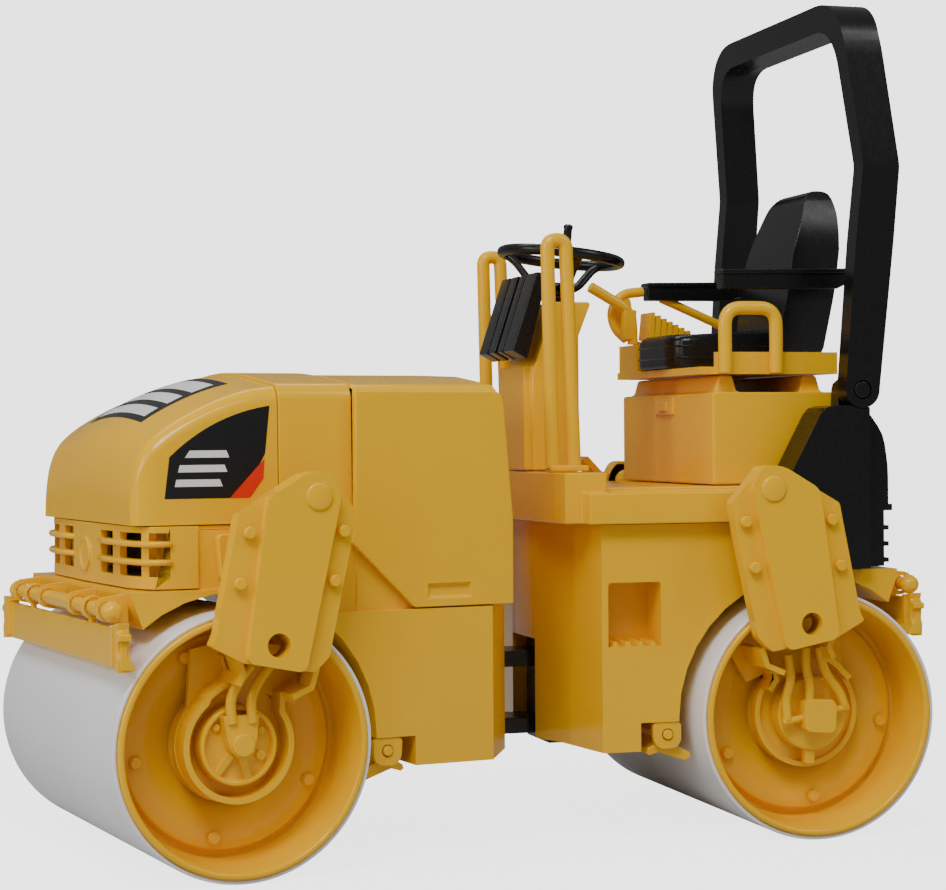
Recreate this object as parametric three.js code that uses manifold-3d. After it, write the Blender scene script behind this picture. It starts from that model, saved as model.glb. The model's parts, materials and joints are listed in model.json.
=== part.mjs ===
// Toy tandem road roller: two drum frames that steer about a pin between them, an operator's
// station with a sliding seat, a roll bar that folds back, and an engine hood that opens.
// Millimetres, +Z up, +X towards the hood, +Y towards the machine's left. The ground is z = 0 and
// the origin is the middle of the footprint, with the front frame steered to the left.

import * as THREE from "three";
import { mergeVertices } from "three/addons/utils/BufferGeometryUtils.js";
import Module from "manifold-3d";

const wasm = await Module();
wasm.setup();

// ---------------------------------------------------------------- driving dimensions
const STEER_DEG = 9.757; // how far the front frame is steered to the left at rest
const PIVOT = { x: -3.7, y: -7.4 }; // the steering pin on the ground plan
const GAP = 0.3; // clearance between pieces that touch

const DRUM = { x: 94.54, radius: 37.5, sides: 32, halfWidth: 60.4, sleeve: 1.3, discFace: 44, disc: 30.4 };
const CHASSIS = { halfWidth: 52, floor: 28, archRadius: 42.3, bumperEnd: 124, bumperTop: 80.7 };
const ARM = { tiltDeg: 12, outerFace: 69, flangeFace: 66, innerFace: 61.3, bracketBack: 46 };
const PIPE = { x: 129, z: 75.6, radius: 2.2, halfLength: 49 };
const SCRAPER = { halfWidth: { front: 62, rear: 55 }, top: 71.5, lip: 60.5, thick: 1.7 };
const INNER_SCRAPER = { x: 48.7, z: 32.7, bossRadius: 3.2 };
const HOOD = { rear: 80.3, bottom: 98.5, wall: 2 };
const CROWN = 3.8; // how far the middle of each cover rises above its shoulders
const COWL = { rear: 11.5, front: 57.6, bulge: 8.3, halfWidth: 52, foot: 73.4, footRear: 8.4, top: 137.5 };
const DECK = { front: -23.3, rear: -88, bottom: 96, board: 105.2, floor: 106.6, halfWidth: 56 };
const CONSOLE = { front: -16.5, rear: -31, halfWidth: 48.8, top: 111.2 };
const TANK = { front: -68, rear: -110, halfWidth: 41, top: 135.2 };
const COLUMN = { front: -18.3, rear: -33.8, halfWidth: 15, top: 164 };
const WHEEL = { x: -32.9, z: 178.9, tiltDeg: 6.46, radius: 18.7, tube: 1.8, dish: 10.5 };
const RAIL = { y: 35, tube: 2.15, top: 183.6 };
const SEAT = { front: -65, rear: -110, halfWidth: 40, base: 140.8 };
const HOOP_PIN = { x: -110.7, z: 135.6, radius: 2.6 }; // the roll bar's hinge
const HOOP = { foot: 5.6, kneeZ: 204, top: 255.7, halfWidth: 58, base: 56.3, inner: 49.6 };

const YELLOW = new THREE.MeshStandardMaterial({ color: 0xf5c000, roughness: 0.32, metalness: 0 });
const BLACK = new THREE.MeshStandardMaterial({ color: 0x1b1b1b, roughness: 0.45, metalness: 0 });
const GREY = new THREE.MeshStandardMaterial({ color: 0xd7d8dc, roughness: 0.55, metalness: 0 });
const STEEL = new THREE.MeshStandardMaterial({ color: 0x9a9ca0, roughness: 0.35, metalness: 1 });

const rad = THREE.MathUtils.degToRad;

// ---------------------------------------------------------------- solids
// A closed geometry as a manifold solid; a mirrored or reversed one is turned to face outwards.
function solid(geometry) {
  const bare = geometry.index ? geometry.toNonIndexed() : geometry.clone();
  for (const name of Object.keys(bare.attributes)) {
    if (name !== "position") bare.deleteAttribute(name);
  }
  const merged = mergeVertices(bare, 1e-4);
  const position = merged.attributes.position;
  const index = Array.from(merged.index.array);
  const triangles = [];
  for (let i = 0; i < index.length; i += 3) {
    const [a, b, c] = [index[i], index[i + 1], index[i + 2]];
    if (a !== b && b !== c && c !== a) triangles.push([a, b, c]);
  }
  const corner = [new THREE.Vector3(), new THREE.Vector3(), new THREE.Vector3()];
  let volume = 0;
  for (const triangle of triangles) {
    triangle.forEach((vertex, k) => corner[k].fromBufferAttribute(position, vertex));
    volume += corner[0].dot(corner[1].clone().cross(corner[2]));
  }
  if (volume < 0) triangles.forEach((triangle) => triangle.reverse());
  return new wasm.Manifold(
    new wasm.Mesh({
      numProp: 3,
      vertProperties: new Float32Array(position.array),
      triVerts: new Uint32Array(triangles.flat()),
    }),
  );
}

const join = (...solids) => solids.reduce((whole, piece) => whole.add(piece));
const cut = (whole, ...tools) => tools.reduce((rest, tool) => rest.subtract(tool), whole);

// An outline of [a, b] points; a third value rounds that corner to about that radius,
// or to what its shorter side leaves room for.
function outline(points) {
  const shape = new THREE.Shape();
  const count = points.length;
  points.forEach(([a, b, radius = 0], i) => {
    const here = new THREE.Vector2(a, b);
    const before = new THREE.Vector2(...points[(i + count - 1) % count].slice(0, 2));
    const after = new THREE.Vector2(...points[(i + 1) % count].slice(0, 2));
    const r = Math.min(radius, 0.45 * here.distanceTo(before), 0.45 * here.distanceTo(after));
    const enter = here.clone().add(before.sub(here).setLength(r));
    const leave = here.clone().add(after.sub(here).setLength(r));
    if (i === 0) shape.moveTo(enter.x, enter.y);
    else shape.lineTo(enter.x, enter.y);
    if (r) shape.quadraticCurveTo(a, b, leave.x, leave.y);
  });
  shape.closePath();
  return shape;
}

function extrude(points, depth, curveSegments = 2) {
  const shape = points.isShape ? points : outline(points);
  return new THREE.ExtrudeGeometry(shape, { depth, bevelEnabled: false, curveSegments });
}

// Outlines in x,z swept along y; in x,y swept along z; and in y,z swept along x.
const alongY = (points, y0, y1, segments) =>
  solid(extrude(points, y1 - y0, segments).rotateX(Math.PI / 2).translate(0, y1, 0));
const alongZ = (points, z0, z1, segments) => solid(extrude(points, z1 - z0, segments).translate(0, 0, z0));
const alongX = (points, x0, x1, segments) => {
  const turn = new THREE.Matrix4().makeBasis(
    new THREE.Vector3(0, 1, 0),
    new THREE.Vector3(0, 0, 1),
    new THREE.Vector3(1, 0, 0),
  );
  return solid(extrude(points, x1 - x0, segments).applyMatrix4(turn).translate(x0, 0, 0));
};

const box = (x0, x1, y0, y1, z0, z1) =>
  solid(
    new THREE.BoxGeometry(Math.abs(x1 - x0), Math.abs(y1 - y0), Math.abs(z1 - z0)).translate(
      (x0 + x1) / 2,
      (y0 + y1) / 2,
      (z0 + z1) / 2,
    ),
  );

// A cylinder along y, centred on x,z.
const rod = (x, z, radius, y0, y1, sides = 20) =>
  solid(new THREE.CylinderGeometry(radius, radius, Math.abs(y1 - y0), sides).translate(x, (y0 + y1) / 2, z));

// A profile of [radius, height] points turned about the y axis, with flats facing the ground.
function turned(profile, sides) {
  const points = profile.map(([r, h]) => new THREE.Vector2(r, h));
  return new THREE.LatheGeometry(points, sides).rotateY(Math.PI / sides);
}

// A round bar through the given points, with each corner rounded over the given distance.
function bar(points, radius, sides = 8, bend = 4) {
  const centres = bentPath(points.map((p) => new THREE.Vector3(...p)), bend);
  const runs = centres.slice(1).map((centre, i) => centre.clone().sub(centres[i]).normalize());
  const side = new THREE.Vector3(0, 1, 0);
  const rings = centres.map((centre, i) => {
    const along = runs[Math.max(i - 1, 0)].clone().add(runs[Math.min(i, runs.length - 1)]).normalize();
    const out = new THREE.Vector3().crossVectors(along, side).normalize();
    const across = new THREE.Vector3().crossVectors(out, along);
    return Array.from({ length: sides }, (_, k) => {
      const angle = (2 * Math.PI * (k + 0.5)) / sides;
      const [c, s] = [radius * Math.cos(angle), radius * Math.sin(angle)];
      return centre.clone().addScaledVector(out, c).addScaledVector(across, s).toArray();
    });
  });
  return loft(rings);
}

// The corner points of a path, with four points in place of each inner corner.
function bentPath(corners, bend) {
  const inner = corners.slice(1, -1).flatMap((corner, i) => {
    const [before, after] = [corners[i], corners[i + 2]];
    const reach = Math.min(bend, 0.49 * corner.distanceTo(before), 0.49 * corner.distanceTo(after));
    const enter = corner.clone().add(before.clone().sub(corner).setLength(reach));
    const leave = corner.clone().add(after.clone().sub(corner).setLength(reach));
    return new THREE.QuadraticBezierCurve3(enter, corner, leave).getPoints(3);
  });
  return [corners[0], ...inner, corners.at(-1)];
}

// Convex rings of equal point counts stitched into one skin, with the two ends closed.
function loft(rings) {
  const vertices = rings.flat(2);
  const count = rings[0].length;
  const index = [];
  for (let r = 0; r < rings.length - 1; r += 1) {
    for (let i = 0; i < count; i += 1) {
      const [a, b] = [r * count + i, r * count + ((i + 1) % count)];
      index.push(a, b, b + count, a, b + count, a + count);
    }
  }
  const last = (rings.length - 1) * count;
  for (let i = 1; i < count - 1; i += 1) index.push(i + 1, i, 0, last, last + i, last + i + 1);
  const geometry = new THREE.BufferGeometry();
  geometry.setAttribute("position", new THREE.Float32BufferAttribute(vertices, 3));
  geometry.setIndex(index);
  return solid(geometry);
}

// ---------------------------------------------------------------- the assembly
const machine = new THREE.Group();
const rearFrame = new THREE.Group();
const frontFrame = new THREE.Group();
rearFrame.position.set(PIVOT.x, PIVOT.y, 0);
frontFrame.position.set(PIVOT.x, PIVOT.y, 0);
frontFrame.rotation.z = rad(STEER_DEG);
machine.add(rearFrame, frontFrame);

// Adds a solid as a named mesh. Mirrored copies keep their faces outwards.
function place(group, name, piece, material, mirrorX = 1, mirrorY = 1) {
  const { numProp, vertProperties, triVerts } = piece.getMesh();
  const positions = [];
  for (let i = 0; i < vertProperties.length; i += numProp) {
    positions.push(vertProperties[i] * mirrorX, vertProperties[i + 1] * mirrorY, vertProperties[i + 2]);
  }
  const index = Array.from(triVerts);
  if (mirrorX * mirrorY < 0) index.reverse();
  const geometry = new THREE.BufferGeometry();
  geometry.setAttribute("position", new THREE.Float32BufferAttribute(positions, 3));
  geometry.setIndex(index);
  geometry.computeVertexNormals();
  const mesh = new THREE.Mesh(geometry, material);
  mesh.name = name;
  group.add(mesh);
}

const ENDS = [
  { name: "front", group: frontFrame, mirror: 1 },
  { name: "rear", group: rearFrame, mirror: -1 },
];
const SIDES = [
  { name: "left", mirror: 1 },
  { name: "right", mirror: -1 },
];

// ---------------------------------------------------------------- drums
// Radii are to the flats, so a drum stands on one of its flats.
const toCorner = 1 / Math.cos(Math.PI / DRUM.sides);

function drumShell() {
  const outer = (DRUM.radius - DRUM.sleeve) * toCorner;
  const wall = 34.4;
  const bore = 5.4;
  const half = [
    [outer, 0],
    [outer, DRUM.halfWidth],
    [wall, DRUM.halfWidth],
    [33, DRUM.discFace - 3],
    [DRUM.disc, DRUM.discFace - 3],
    [DRUM.disc, DRUM.discFace],
    [bore, DRUM.discFace],
    [bore, DRUM.discFace - 6],
    [33, DRUM.discFace - 6],
    [33, 0],
  ];
  const profile = [...half, ...half.slice(1, -1).reverse().map(([r, h]) => [r, -h]), half[0]];
  const shell = solid(turned(profile, DRUM.sides));
  const bolts = [];
  for (let i = 0; i < 5; i += 1) {
    for (const side of [1, -1]) {
      const angle = rad(72 * i - 9);
      const [x, z] = [27 * Math.cos(angle), 27 * Math.sin(angle)];
      bolts.push(rod(x, z, 2, side * (DRUM.discFace - 1), side * (DRUM.discFace + 1.2), 6));
    }
  }
  return join(shell, ...bolts);
}

function drumSleeve() {
  const half = DRUM.halfWidth - 0.8;
  const outer = DRUM.radius * toCorner;
  const inner = (DRUM.radius - DRUM.sleeve + GAP) * toCorner;
  const edge = 0.5;
  const profile = [
    [inner, -half],
    [outer - edge, -half],
    [outer, -half + edge],
    [outer, half - edge],
    [outer - edge, half],
    [inner, half],
    [inner, -half],
  ];
  return solid(turned(profile, DRUM.sides));
}

for (const { name, group, mirror } of ENDS) {
  const drum = new THREE.Group();
  drum.position.set(mirror * DRUM.x, 0, DRUM.radius);
  group.add(drum);
  place(drum, `${name}_drum`, drumShell(), YELLOW, mirror);
  place(drum, `${name}_drum_sleeve`, drumSleeve(), GREY);
  place(drum, `${name}_axle`, rod(0, 0, 5, -(ARM.bracketBack - GAP), ARM.bracketBack - GAP, 24), STEEL);
}

// ---------------------------------------------------------------- arms and hubs
// Points measured along and across the leaning arm, from the drum's axle.
function onArm(along, across) {
  const tilt = rad(ARM.tiltDeg);
  return [
    DRUM.x - along * Math.sin(tilt) + across * Math.cos(tilt),
    DRUM.radius + along * Math.cos(tilt) + across * Math.sin(tilt),
  ];
}

function arm(isFront) {
  const plate = [
    [90.1, 105.6],
    [76.4, 113.6, 4],
    [70, 108.4],
    [80, 58.5],
    [96.8, 61.3],
  ];
  const flange = [
    [97.7, 102.3],
    [90.1, 105.6],
    [70, 108.4],
    [64.5, 103],
    [65.9, 92.5],
    [71.2, 66],
    [72.8, 60.4],
    [78, 58],
    [97, 61.3],
    [107.1, 66],
    [104.8, 68],
    [98.2, 99.1],
  ];
  const centre = alongY(plate, ARM.innerFace, ARM.outerFace);
  const wings = alongY(flange, ARM.innerFace, ARM.flangeFace);
  const bolts = [
    [95.5, 96.7],
    [98.3, 83],
    [68, 96.5],
    [70.8, 82.9],
  ].map(([x, z]) => rod(x, z, 1.7, ARM.flangeFace - 1, ARM.flangeFace + 1.4, 6));
  const bossStart = isFront ? COWL.halfWidth - 2.9 : DECK.halfWidth;
  const boss = rod(76, 106, 3.9, bossStart + GAP, ARM.outerFace + 0.6, 14);
  const hole = rod(88, 66, 3.3, 50, 80, 14);
  const cheek = (side) => {
    const corners = [
      [14, side * 11.4],
      [30, side * 11.4],
      [30, side * 8.6],
      [14, side * 8.6],
    ].map(([along, across]) => onArm(along, across));
    return alongY(corners, ARM.bracketBack, ARM.flangeFace);
  };
  const rim = isFront ? 16.4 : 16.8;
  const web = [[rim * 0.2, -rim * 0.72], [26, -12.4], [26, 12.4], [rim * 0.2, rim * 0.72]];
  const back = alongY(web.map(([along, across]) => onArm(along, across)), ARM.bracketBack, ARM.bracketBack + 2);
  const disc = rod(DRUM.x, DRUM.radius, rim, ARM.bracketBack, ARM.bracketBack + 2, 24);
  let bracket = join(back, disc, cheek(1), cheek(-1));
  if (isFront) {
    const ring = cut(
      rod(DRUM.x, DRUM.radius, 16.4, ARM.bracketBack, 54.8, 24),
      rod(DRUM.x, DRUM.radius, 14.2, ARM.bracketBack + 1, 60, 24),
      alongY([onArm(8, -8), onArm(20, -8), onArm(20, 8), onArm(8, 8)], ARM.bracketBack + 2, 60),
    );
    bracket = join(bracket, ring);
  }
  return join(cut(join(centre, wings), hole), boss, bracket, ...bolts);
}

function frontHub() {
  const disc = rod(DRUM.x, DRUM.radius, 11.2, ARM.bracketBack + 2 + GAP, 53.4, 20);
  const lip = cut(rod(DRUM.x, DRUM.radius, 11.2, 53, 54.65, 20), rod(DRUM.x, DRUM.radius, 9.6, 52, 56, 20));
  const cover = [
    [89.6, 46.2],
    [90.6, 38.4, 3],
    [94.5, 31.8, 4],
    [98.4, 38.4, 3],
    [100.1, 46.2],
  ];
  const hoses = [0, -6].map((shift) =>
    bar([[97.4, 44], [98, 50], [95.5, 55], [91.8, 60]].map(([x, z]) => [x + shift, 57.5, z]), 1.5, 6),
  );
  return join(
    disc,
    lip,
    alongY(cover, 53, 58),
    rod(DRUM.x, 38, 3.2, 57, 59.2, 12),
    ...hoses,
  );
}

function rearHub() {
  const disc = rod(DRUM.x, DRUM.radius, 11.25, ARM.bracketBack + 2 + GAP, 54.3, 20);
  const block = [
    [89.6, 41, 1],
    [90.4, 33, 1],
    [99.6, 32, 1],
    [100.2, 41.6, 1],
  ];
  const routes = [
    [[85.2, 36], [84.6, 43], [86.6, 48], [85.4, 56]],
    [[92.4, 41], [92.6, 47], [91.2, 52], [91.4, 58]],
    [[104, 39.4], [102.4, 44], [97.4, 50], [95.6, 58]],
  ];
  const hoses = routes.map((route) => bar(route.map(([x, z]) => [x, 56.6, z]), 1.4, 6));
  return join(
    disc,
    alongY(block, 53, 59.6),
    bar([[83.6, 56.6, 35.4], [105.3, 56.6, 39.4]], 1.1, 6),
    alongY([[92.2, 28], [92.6, 22], [95.6, 22], [95.6, 28]], 50, 53.4),
    ...hoses,
  );
}

for (const { name: end, group, mirror: mirrorX } of ENDS) {
  for (const { name: side, mirror: mirrorY } of SIDES) {
    place(group, `${end}_arm_${side}`, arm(end === "front"), YELLOW, mirrorX, mirrorY);
    const hub = end === "front" ? frontHub() : rearHub();
    place(group, `${end}_hub_${side}`, hub, YELLOW, mirrorX, mirrorY);
  }
}

// ---------------------------------------------------------------- chassis, pipes and scrapers
// The block between the drums, with the arch over its own drum and the bumper past it.
function drumFrame(inner, top) {
  const { halfWidth, floor, archRadius, bumperEnd, bumperTop } = CHASSIS;
  const side = [
    [inner, floor],
    [40.1, floor],
    [40.1, 36.5],
    [60, 36.5],
    [bumperEnd - 5, 70.4],
    [bumperEnd - 3, 70.4],
    [bumperEnd, 79],
    [bumperEnd, bumperTop],
    [96, bumperTop],
    [96, top],
    [inner, top],
  ];
  const arch = rod(DRUM.x, DRUM.radius, archRadius, -70, 70, 36);
  const block = cut(alongY(side, -halfWidth, halfWidth), arch);
  const clip = (y) =>
    alongY(
      [
        [bumperEnd - 1, 72],
        [bumperEnd + 4, 72, 1],
        [bumperEnd + 8, 73, 2],
        [bumperEnd + 8, 79, 2],
        [bumperEnd - 1, 80],
      ],
      y - 0.8,
      y + 0.8,
    );
  const clips = [-44.5, -16, 16, 44.5].map(clip);
  const seat = rod(PIPE.x, PIPE.z, PIPE.radius + GAP, -70, 70, 10);
  return cut(join(block, ...clips), seat);
}

function sprayPipe() {
  const { x, z, radius, halfLength } = PIPE;
  const ball = (y) => solid(new THREE.SphereGeometry(3.1, 10, 6).translate(x, y, z));
  return join(rod(x, z, radius, -halfLength, halfLength, 10), ball(halfLength + 0.9), ball(-halfLength - 0.9));
}

function endScraper(end) {
  const { top, lip, thick } = SCRAPER;
  const halfWidth = SCRAPER.halfWidth[end];
  const section = [
    [128.4, top],
    [128.4 + thick, top],
    [130.6, 64],
    [128.2, lip],
    [126, lip],
    [128.6, 64.6],
  ];
  const blade = alongY(section, -halfWidth, halfWidth);
  const cheek = (side) => {
    const plate = [[125.4, 70.8], [129, 71.4], [129, 60.6], [126, 61], [125.4, 66]];
    return alongY(plate, ...[side * (halfWidth - 1.2), side * halfWidth].sort((a, b) => a - b));
  };
  const clips = [-31, 31].map((y) => {
    const collar = cut(
      rod(PIPE.x, PIPE.z, PIPE.radius + 1.6, y - 2, y + 2, 12),
      rod(PIPE.x, PIPE.z, PIPE.radius + GAP, y - 3, y + 3, 12),
    );
    return join(collar, box(128.6, 130, y - 2, y + 2, top - 1, top + 1.2));
  });
  return join(blade, cheek(1), cheek(-1), ...clips);
}

function innerScraper() {
  const { x, z, bossRadius } = INNER_SCRAPER;
  const reach = CHASSIS.halfWidth - 0.6;
  const blade = [
    [x - 2, z - 2],
    [x + 1, z + 1],
    [57.2, 26.6],
    [54.8, 24.4],
    [47.5, 26.5],
  ];
  return join(rod(x, z, bossRadius, -reach, reach, 16), alongY(blade, -reach + 1, reach - 1));
}

for (const { name, group, mirror } of ENDS) {
  place(group, `${name}_spray_pipe`, sprayPipe(), YELLOW, mirror);
  place(group, `${name}_scraper`, endScraper(name), YELLOW, mirror);
  place(group, `${name}_inner_scraper`, innerScraper(), YELLOW, mirror);
}

// ---------------------------------------------------------------- steering joint
const JOINT = { pin: 4, low: 34, high: 50, plate: 5, reach: 9 };

function frontChassis() {
  const base = drumFrame(15.2, 72.9);
  const nose = alongZ([[15.4, -52], [15.4, 52], [2, 32.7], [2, -32.7]], CHASSIS.floor, 72.9);
  const core = box(12, 57, -49.4, 49.4, 72, 97);
  const recess = box(-5, 14, -16, 16, JOINT.low - 9, JOINT.high + 9);
  const bays = [1, -1].map((side) => box(56, 104, side * 46, side * 49, 72, 97));
  const tray = cut(box(56, 104, -47, 47, 72, 82), rod(DRUM.x, DRUM.radius, CHASSIS.archRadius, -70, 70, 36));
  const shelf = cut(join(base, nose, core), recess);
  return cut(join(shelf, ...bays, tray), rod(DRUM.x, DRUM.radius, CHASSIS.archRadius, -70, 70, 36));
}

function rearChassis() {
  const base = drumFrame(28, DECK.bottom - GAP);
  const nose = alongZ(
    [[28.2, -52], [28.2, 52], [24, 25], [19.5, 11.8], [19.5, -11.8], [24, -25]],
    CHASSIS.floor,
    DECK.bottom - GAP,
  );
  const recess = box(10, 32, -12, 12, JOINT.low - 9, JOINT.high + 9);
  const pockets = [1, -1].map((side) => {
    const mouth = [[30, 78.5, 1], [46.7, 78.5, 1], [46.7, 59.4], [30, 59.4]];
    const [y0, y1] = [side * 40, side * 60].sort((a, b) => a - b);
    const teeth = [0, 1, 2, 3].map((i) => {
      const x = 31.2 + i * 3.9;
      return alongY([[x, 58], [x + 2.2, 58], [x + 1.7, 61, 0.5], [x + 0.5, 61, 0.5]], y0, y1);
    });
    return cut(alongY(mouth, y0, y1), ...teeth);
  });
  return cut(join(base, nose), recess, ...pockets);
}

place(frontFrame, "front_chassis", frontChassis(), YELLOW);
place(rearFrame, "rear_chassis", rearChassis(), YELLOW, -1);

// A cylinder up the steering axis.
function post(radius, z0, z1) {
  const cylinder = new THREE.CylinderGeometry(radius, radius, z1 - z0, 24);
  return solid(cylinder.rotateX(Math.PI / 2).translate(0, 0, (z0 + z1) / 2));
}

// The tongue on the front frame turns between the yoke's two plates on the rear frame.
function jointTongue() {
  const { low, high, reach, plate } = JOINT;
  const [z0, z1] = [low + GAP, high - GAP];
  const eye = post(reach, z0, z1);
  const hole = post(JOINT.pin + GAP, 10, 70);
  return cut(join(eye, box(0, 13.7, -7, 7, z0, z1), box(11, 13.7, -14, 14, low - plate, high + plate)), hole);
}

function jointYoke() {
  const { low, high, reach, plate } = JOINT;
  const cheek = (z0) => join(
    post(reach, z0, z0 + plate),
    box(-28, 0, -reach + 1, reach - 1, z0, z0 + plate),
  );
  const hole = post(JOINT.pin + GAP, 10, 70);
  const heel = box(-31.7, -24, -11.5, 11.5, low - plate - 3, high + plate + 3);
  return cut(join(cheek(low - plate), cheek(high), heel), hole);
}

function jointPin() {
  const { pin, low, high, plate } = JOINT;
  return join(post(pin, low - plate, high + plate + 1), post(6, high + plate + GAP, high + plate + 2));
}

place(frontFrame, "steer_tongue", jointTongue(), BLACK);
place(rearFrame, "steer_yoke", jointYoke(), BLACK);
place(rearFrame, "steer_pin", jointPin(), BLACK);

// ---------------------------------------------------------------- engine hood and covers
// Half-sections of the hood at one station: straight sides, round shoulders and a low crown.
function hoodRing(x, top, halfWidth, bottom, inset) {
  const w = halfWidth - inset;
  const crown = top - inset;
  const shoulder = Math.min(7, (top - bottom) * 0.5);
  const half = [[w, bottom], [w - 0.6, crown - shoulder]];
  for (let i = 1; i <= 3; i += 1) {
    const angle = (i * Math.PI) / 6;
    half.push([w - 0.6 - shoulder * (1 - Math.cos(angle)), crown - shoulder * (1 - Math.sin(angle))]);
  }
  half.push([w * 0.5, crown + CROWN * 0.75]);
  const other = half.map(([y, z]) => [-y, z]).reverse();
  return [...half, [0, crown + CROWN], ...other].map(([y, z]) => [x, y, z]);
}

// The crown falls away towards the nose in a long arc.
const HOOD_STATIONS = [
  { x: 80.3, top: 137.2, halfWidth: 48.6 },
  { x: 88, top: 136.2, halfWidth: 48.6 },
  { x: 97, top: 133.4, halfWidth: 48.5 },
  { x: 106, top: 129.2, halfWidth: 48.2 },
  { x: 113, top: 124.9, halfWidth: 47.6 },
  { x: 118.4, top: 121, halfWidth: 46 },
  { x: 121.4, top: 114.5, halfWidth: 44.4 },
  { x: 122, top: 107, halfWidth: 43.8 },
];

function hood() {
  const skin = loft(HOOD_STATIONS.map(({ x, top, halfWidth }) => hoodRing(x, top, halfWidth, HOOD.bottom, 0)));
  const room = loft(
    HOOD_STATIONS.slice(0, -1).map(({ x, top, halfWidth }, i) =>
      hoodRing(i ? x - 1.6 : x - 2, top, halfWidth, HOOD.bottom - 2, HOOD.wall),
    ),
  );
  return cut(skin, room);
}

function midCowl() {
  const [x0, x1] = [COWL.front + GAP, HOOD.rear - GAP];
  const ring = (x, grow) => hoodRing(x, 138 - grow, 49.1 - grow, HOOD.bottom - (grow ? 2 : 0), 0);
  return cut(loft([ring(x0, 0), ring(x1, 0)]), loft([ring(x0 - 2, HOOD.wall), ring(x1 + 2, HOOD.wall)]));
}

function rearCowl() {
  const { rear, bulge, front, top } = COWL;
  const side = [
    [rear + 0.6, top + CROWN, 2],
    [front, top + CROWN],
    [front, 97.3],
    [bulge + 0.8, 97.3],
  ];
  const half = [[49.6, 90], [49.6, 135.4], [46.5, top], [24, top + CROWN * 0.75]];
  const across = [...half, [0, top + CROWN], ...half.map(([y, z]) => [-y, z]).reverse()];
  const skin = alongY(side, -49.6, 49.6).intersect(alongX(across, 0, 60));
  const room = box(rear + 1, front + 2, -47.2, 47.2, 90, top - 2.4);
  return cut(skin, room);
}

function sideCover() {
  const { halfWidth, rear, bulge, foot, footRear } = COWL;
  const panel = [
    [58.1, 135.6],
    [rear, 135.6, 3],
    [bulge, 98],
    [footRear, foot],
    [40.1, foot],
    [59.8, 92.8],
    [58.6, 97],
  ];
  const slot = box(22.5, 35.6, halfWidth - 0.9, halfWidth + 2, 76, 79.9);
  return cut(alongY(panel, 49.6 + GAP, halfWidth + 0.3), slot);
}

// The nose under the hood: a bowed front and two corner lamp windows behind bars.
function noseGrille() {
  const plan = (inset) => [
    [104.3, -50 + inset],
    [117.5 - inset, -50 + inset, 5],
    [121 - inset, -38],
    [122 - inset, 0],
    [121 - inset, 38],
    [117.5 - inset, 50 - inset, 5],
    [104.3, 50 - inset],
  ];
  const low = 81;
  const high = 98.2;
  const shell = cut(
    alongZ(plan(0), low, high),
    alongZ([[100, -47.8], ...plan(2.2).slice(1, -1), [100, 47.8]], low + 2, high + 1),
  );
  const rows = [[84.4, 87.6], [89.2, 92.6], [94.2, 96.4]];
  const cells = [[14, 25.2], [31.2, 44.6]];
  const windows = [];
  for (const side of [1, -1]) {
    for (const [z0, z1] of rows) {
      for (const [y0, y1] of cells) windows.push(box(112, 126, side * y0, side * y1, z0, z1));
      windows.push(box(112.6, 117.6, side * 46, side * 56, z0, z1));
    }
  }
  const button = (radius, x, length) =>
    solid(new THREE.CylinderGeometry(radius, radius, length, 24).rotateZ(Math.PI / 2).translate(x, 0, 89));
  const emblem = cut(button(5, 121.8, 1.6), button(4.2, 122.9, 1.2));
  return join(cut(shell, ...windows), emblem);
}

const lamp = () => alongZ([[106, 27], [113.4, 27], [113.4, 45.4], [106, 45.4]], 83.4, 96.8);

function sideHatch() {
  const panel = [
    [84, 83],
    [98.6, 83, 1.5],
    [99.7, 96, 1.5],
    [84, 96],
  ];
  return alongY(panel, 49 + GAP, 52.4);
}

// The engine stands on the front chassis under the hood.
function engine() {
  const sump = box(62, 103.6, -22, 22, 82 + GAP, 96);
  const crankcase = box(64, 108, -16, 16, 95, 112);
  const head = box(66, 104, -12, 12, 111, 120);
  const pots = [0, 1, 2].map((i) =>
    solid(new THREE.CylinderGeometry(4.4, 4.4, 5, 14).rotateX(Math.PI / 2).translate(72 + i * 12.5, 0, 121.5)),
  );
  const filter = rod(84, 104, 5, 15, 26, 16);
  const fan = solid(new THREE.CylinderGeometry(11, 11, 3, 20).rotateZ(Math.PI / 2).translate(109, 0, 104));
  return join(sump, crankcase, head, filter, fan, ...pots);
}

place(frontFrame, "hood", hood(), YELLOW);
place(frontFrame, "mid_cowl", midCowl(), YELLOW);
place(frontFrame, "rear_cowl", rearCowl(), YELLOW);
place(frontFrame, "nose_grille", noseGrille(), YELLOW);
place(frontFrame, "engine_block", engine(), BLACK);
for (const { name, mirror } of SIDES) {
  place(frontFrame, `side_cover_${name}`, sideCover(), YELLOW, 1, mirror);
  place(frontFrame, `lamp_${name}`, lamp(), YELLOW, 1, mirror);
  place(frontFrame, `side_hatch_${name}`, sideHatch(), YELLOW, 1, mirror);
}

// ---------------------------------------------------------------- operator's deck
function deck() {
  const { front, rear, bottom, board, floor, halfWidth } = DECK;
  const boards = box(rear, front, -halfWidth, halfWidth, bottom, board);
  const mat = box(rear + 1, front - 4, -43, 43, board - 1, floor);
  const plan = [
    [CONSOLE.rear, -CONSOLE.halfWidth],
    [CONSOLE.front - 1.5, -CONSOLE.halfWidth],
    [CONSOLE.front, -27],
    [CONSOLE.front, 27],
    [CONSOLE.front - 1.5, CONSOLE.halfWidth],
    [CONSOLE.rear, CONSOLE.halfWidth],
  ];
  return join(boards, mat, alongZ(plan, bottom, CONSOLE.top));
}

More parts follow.
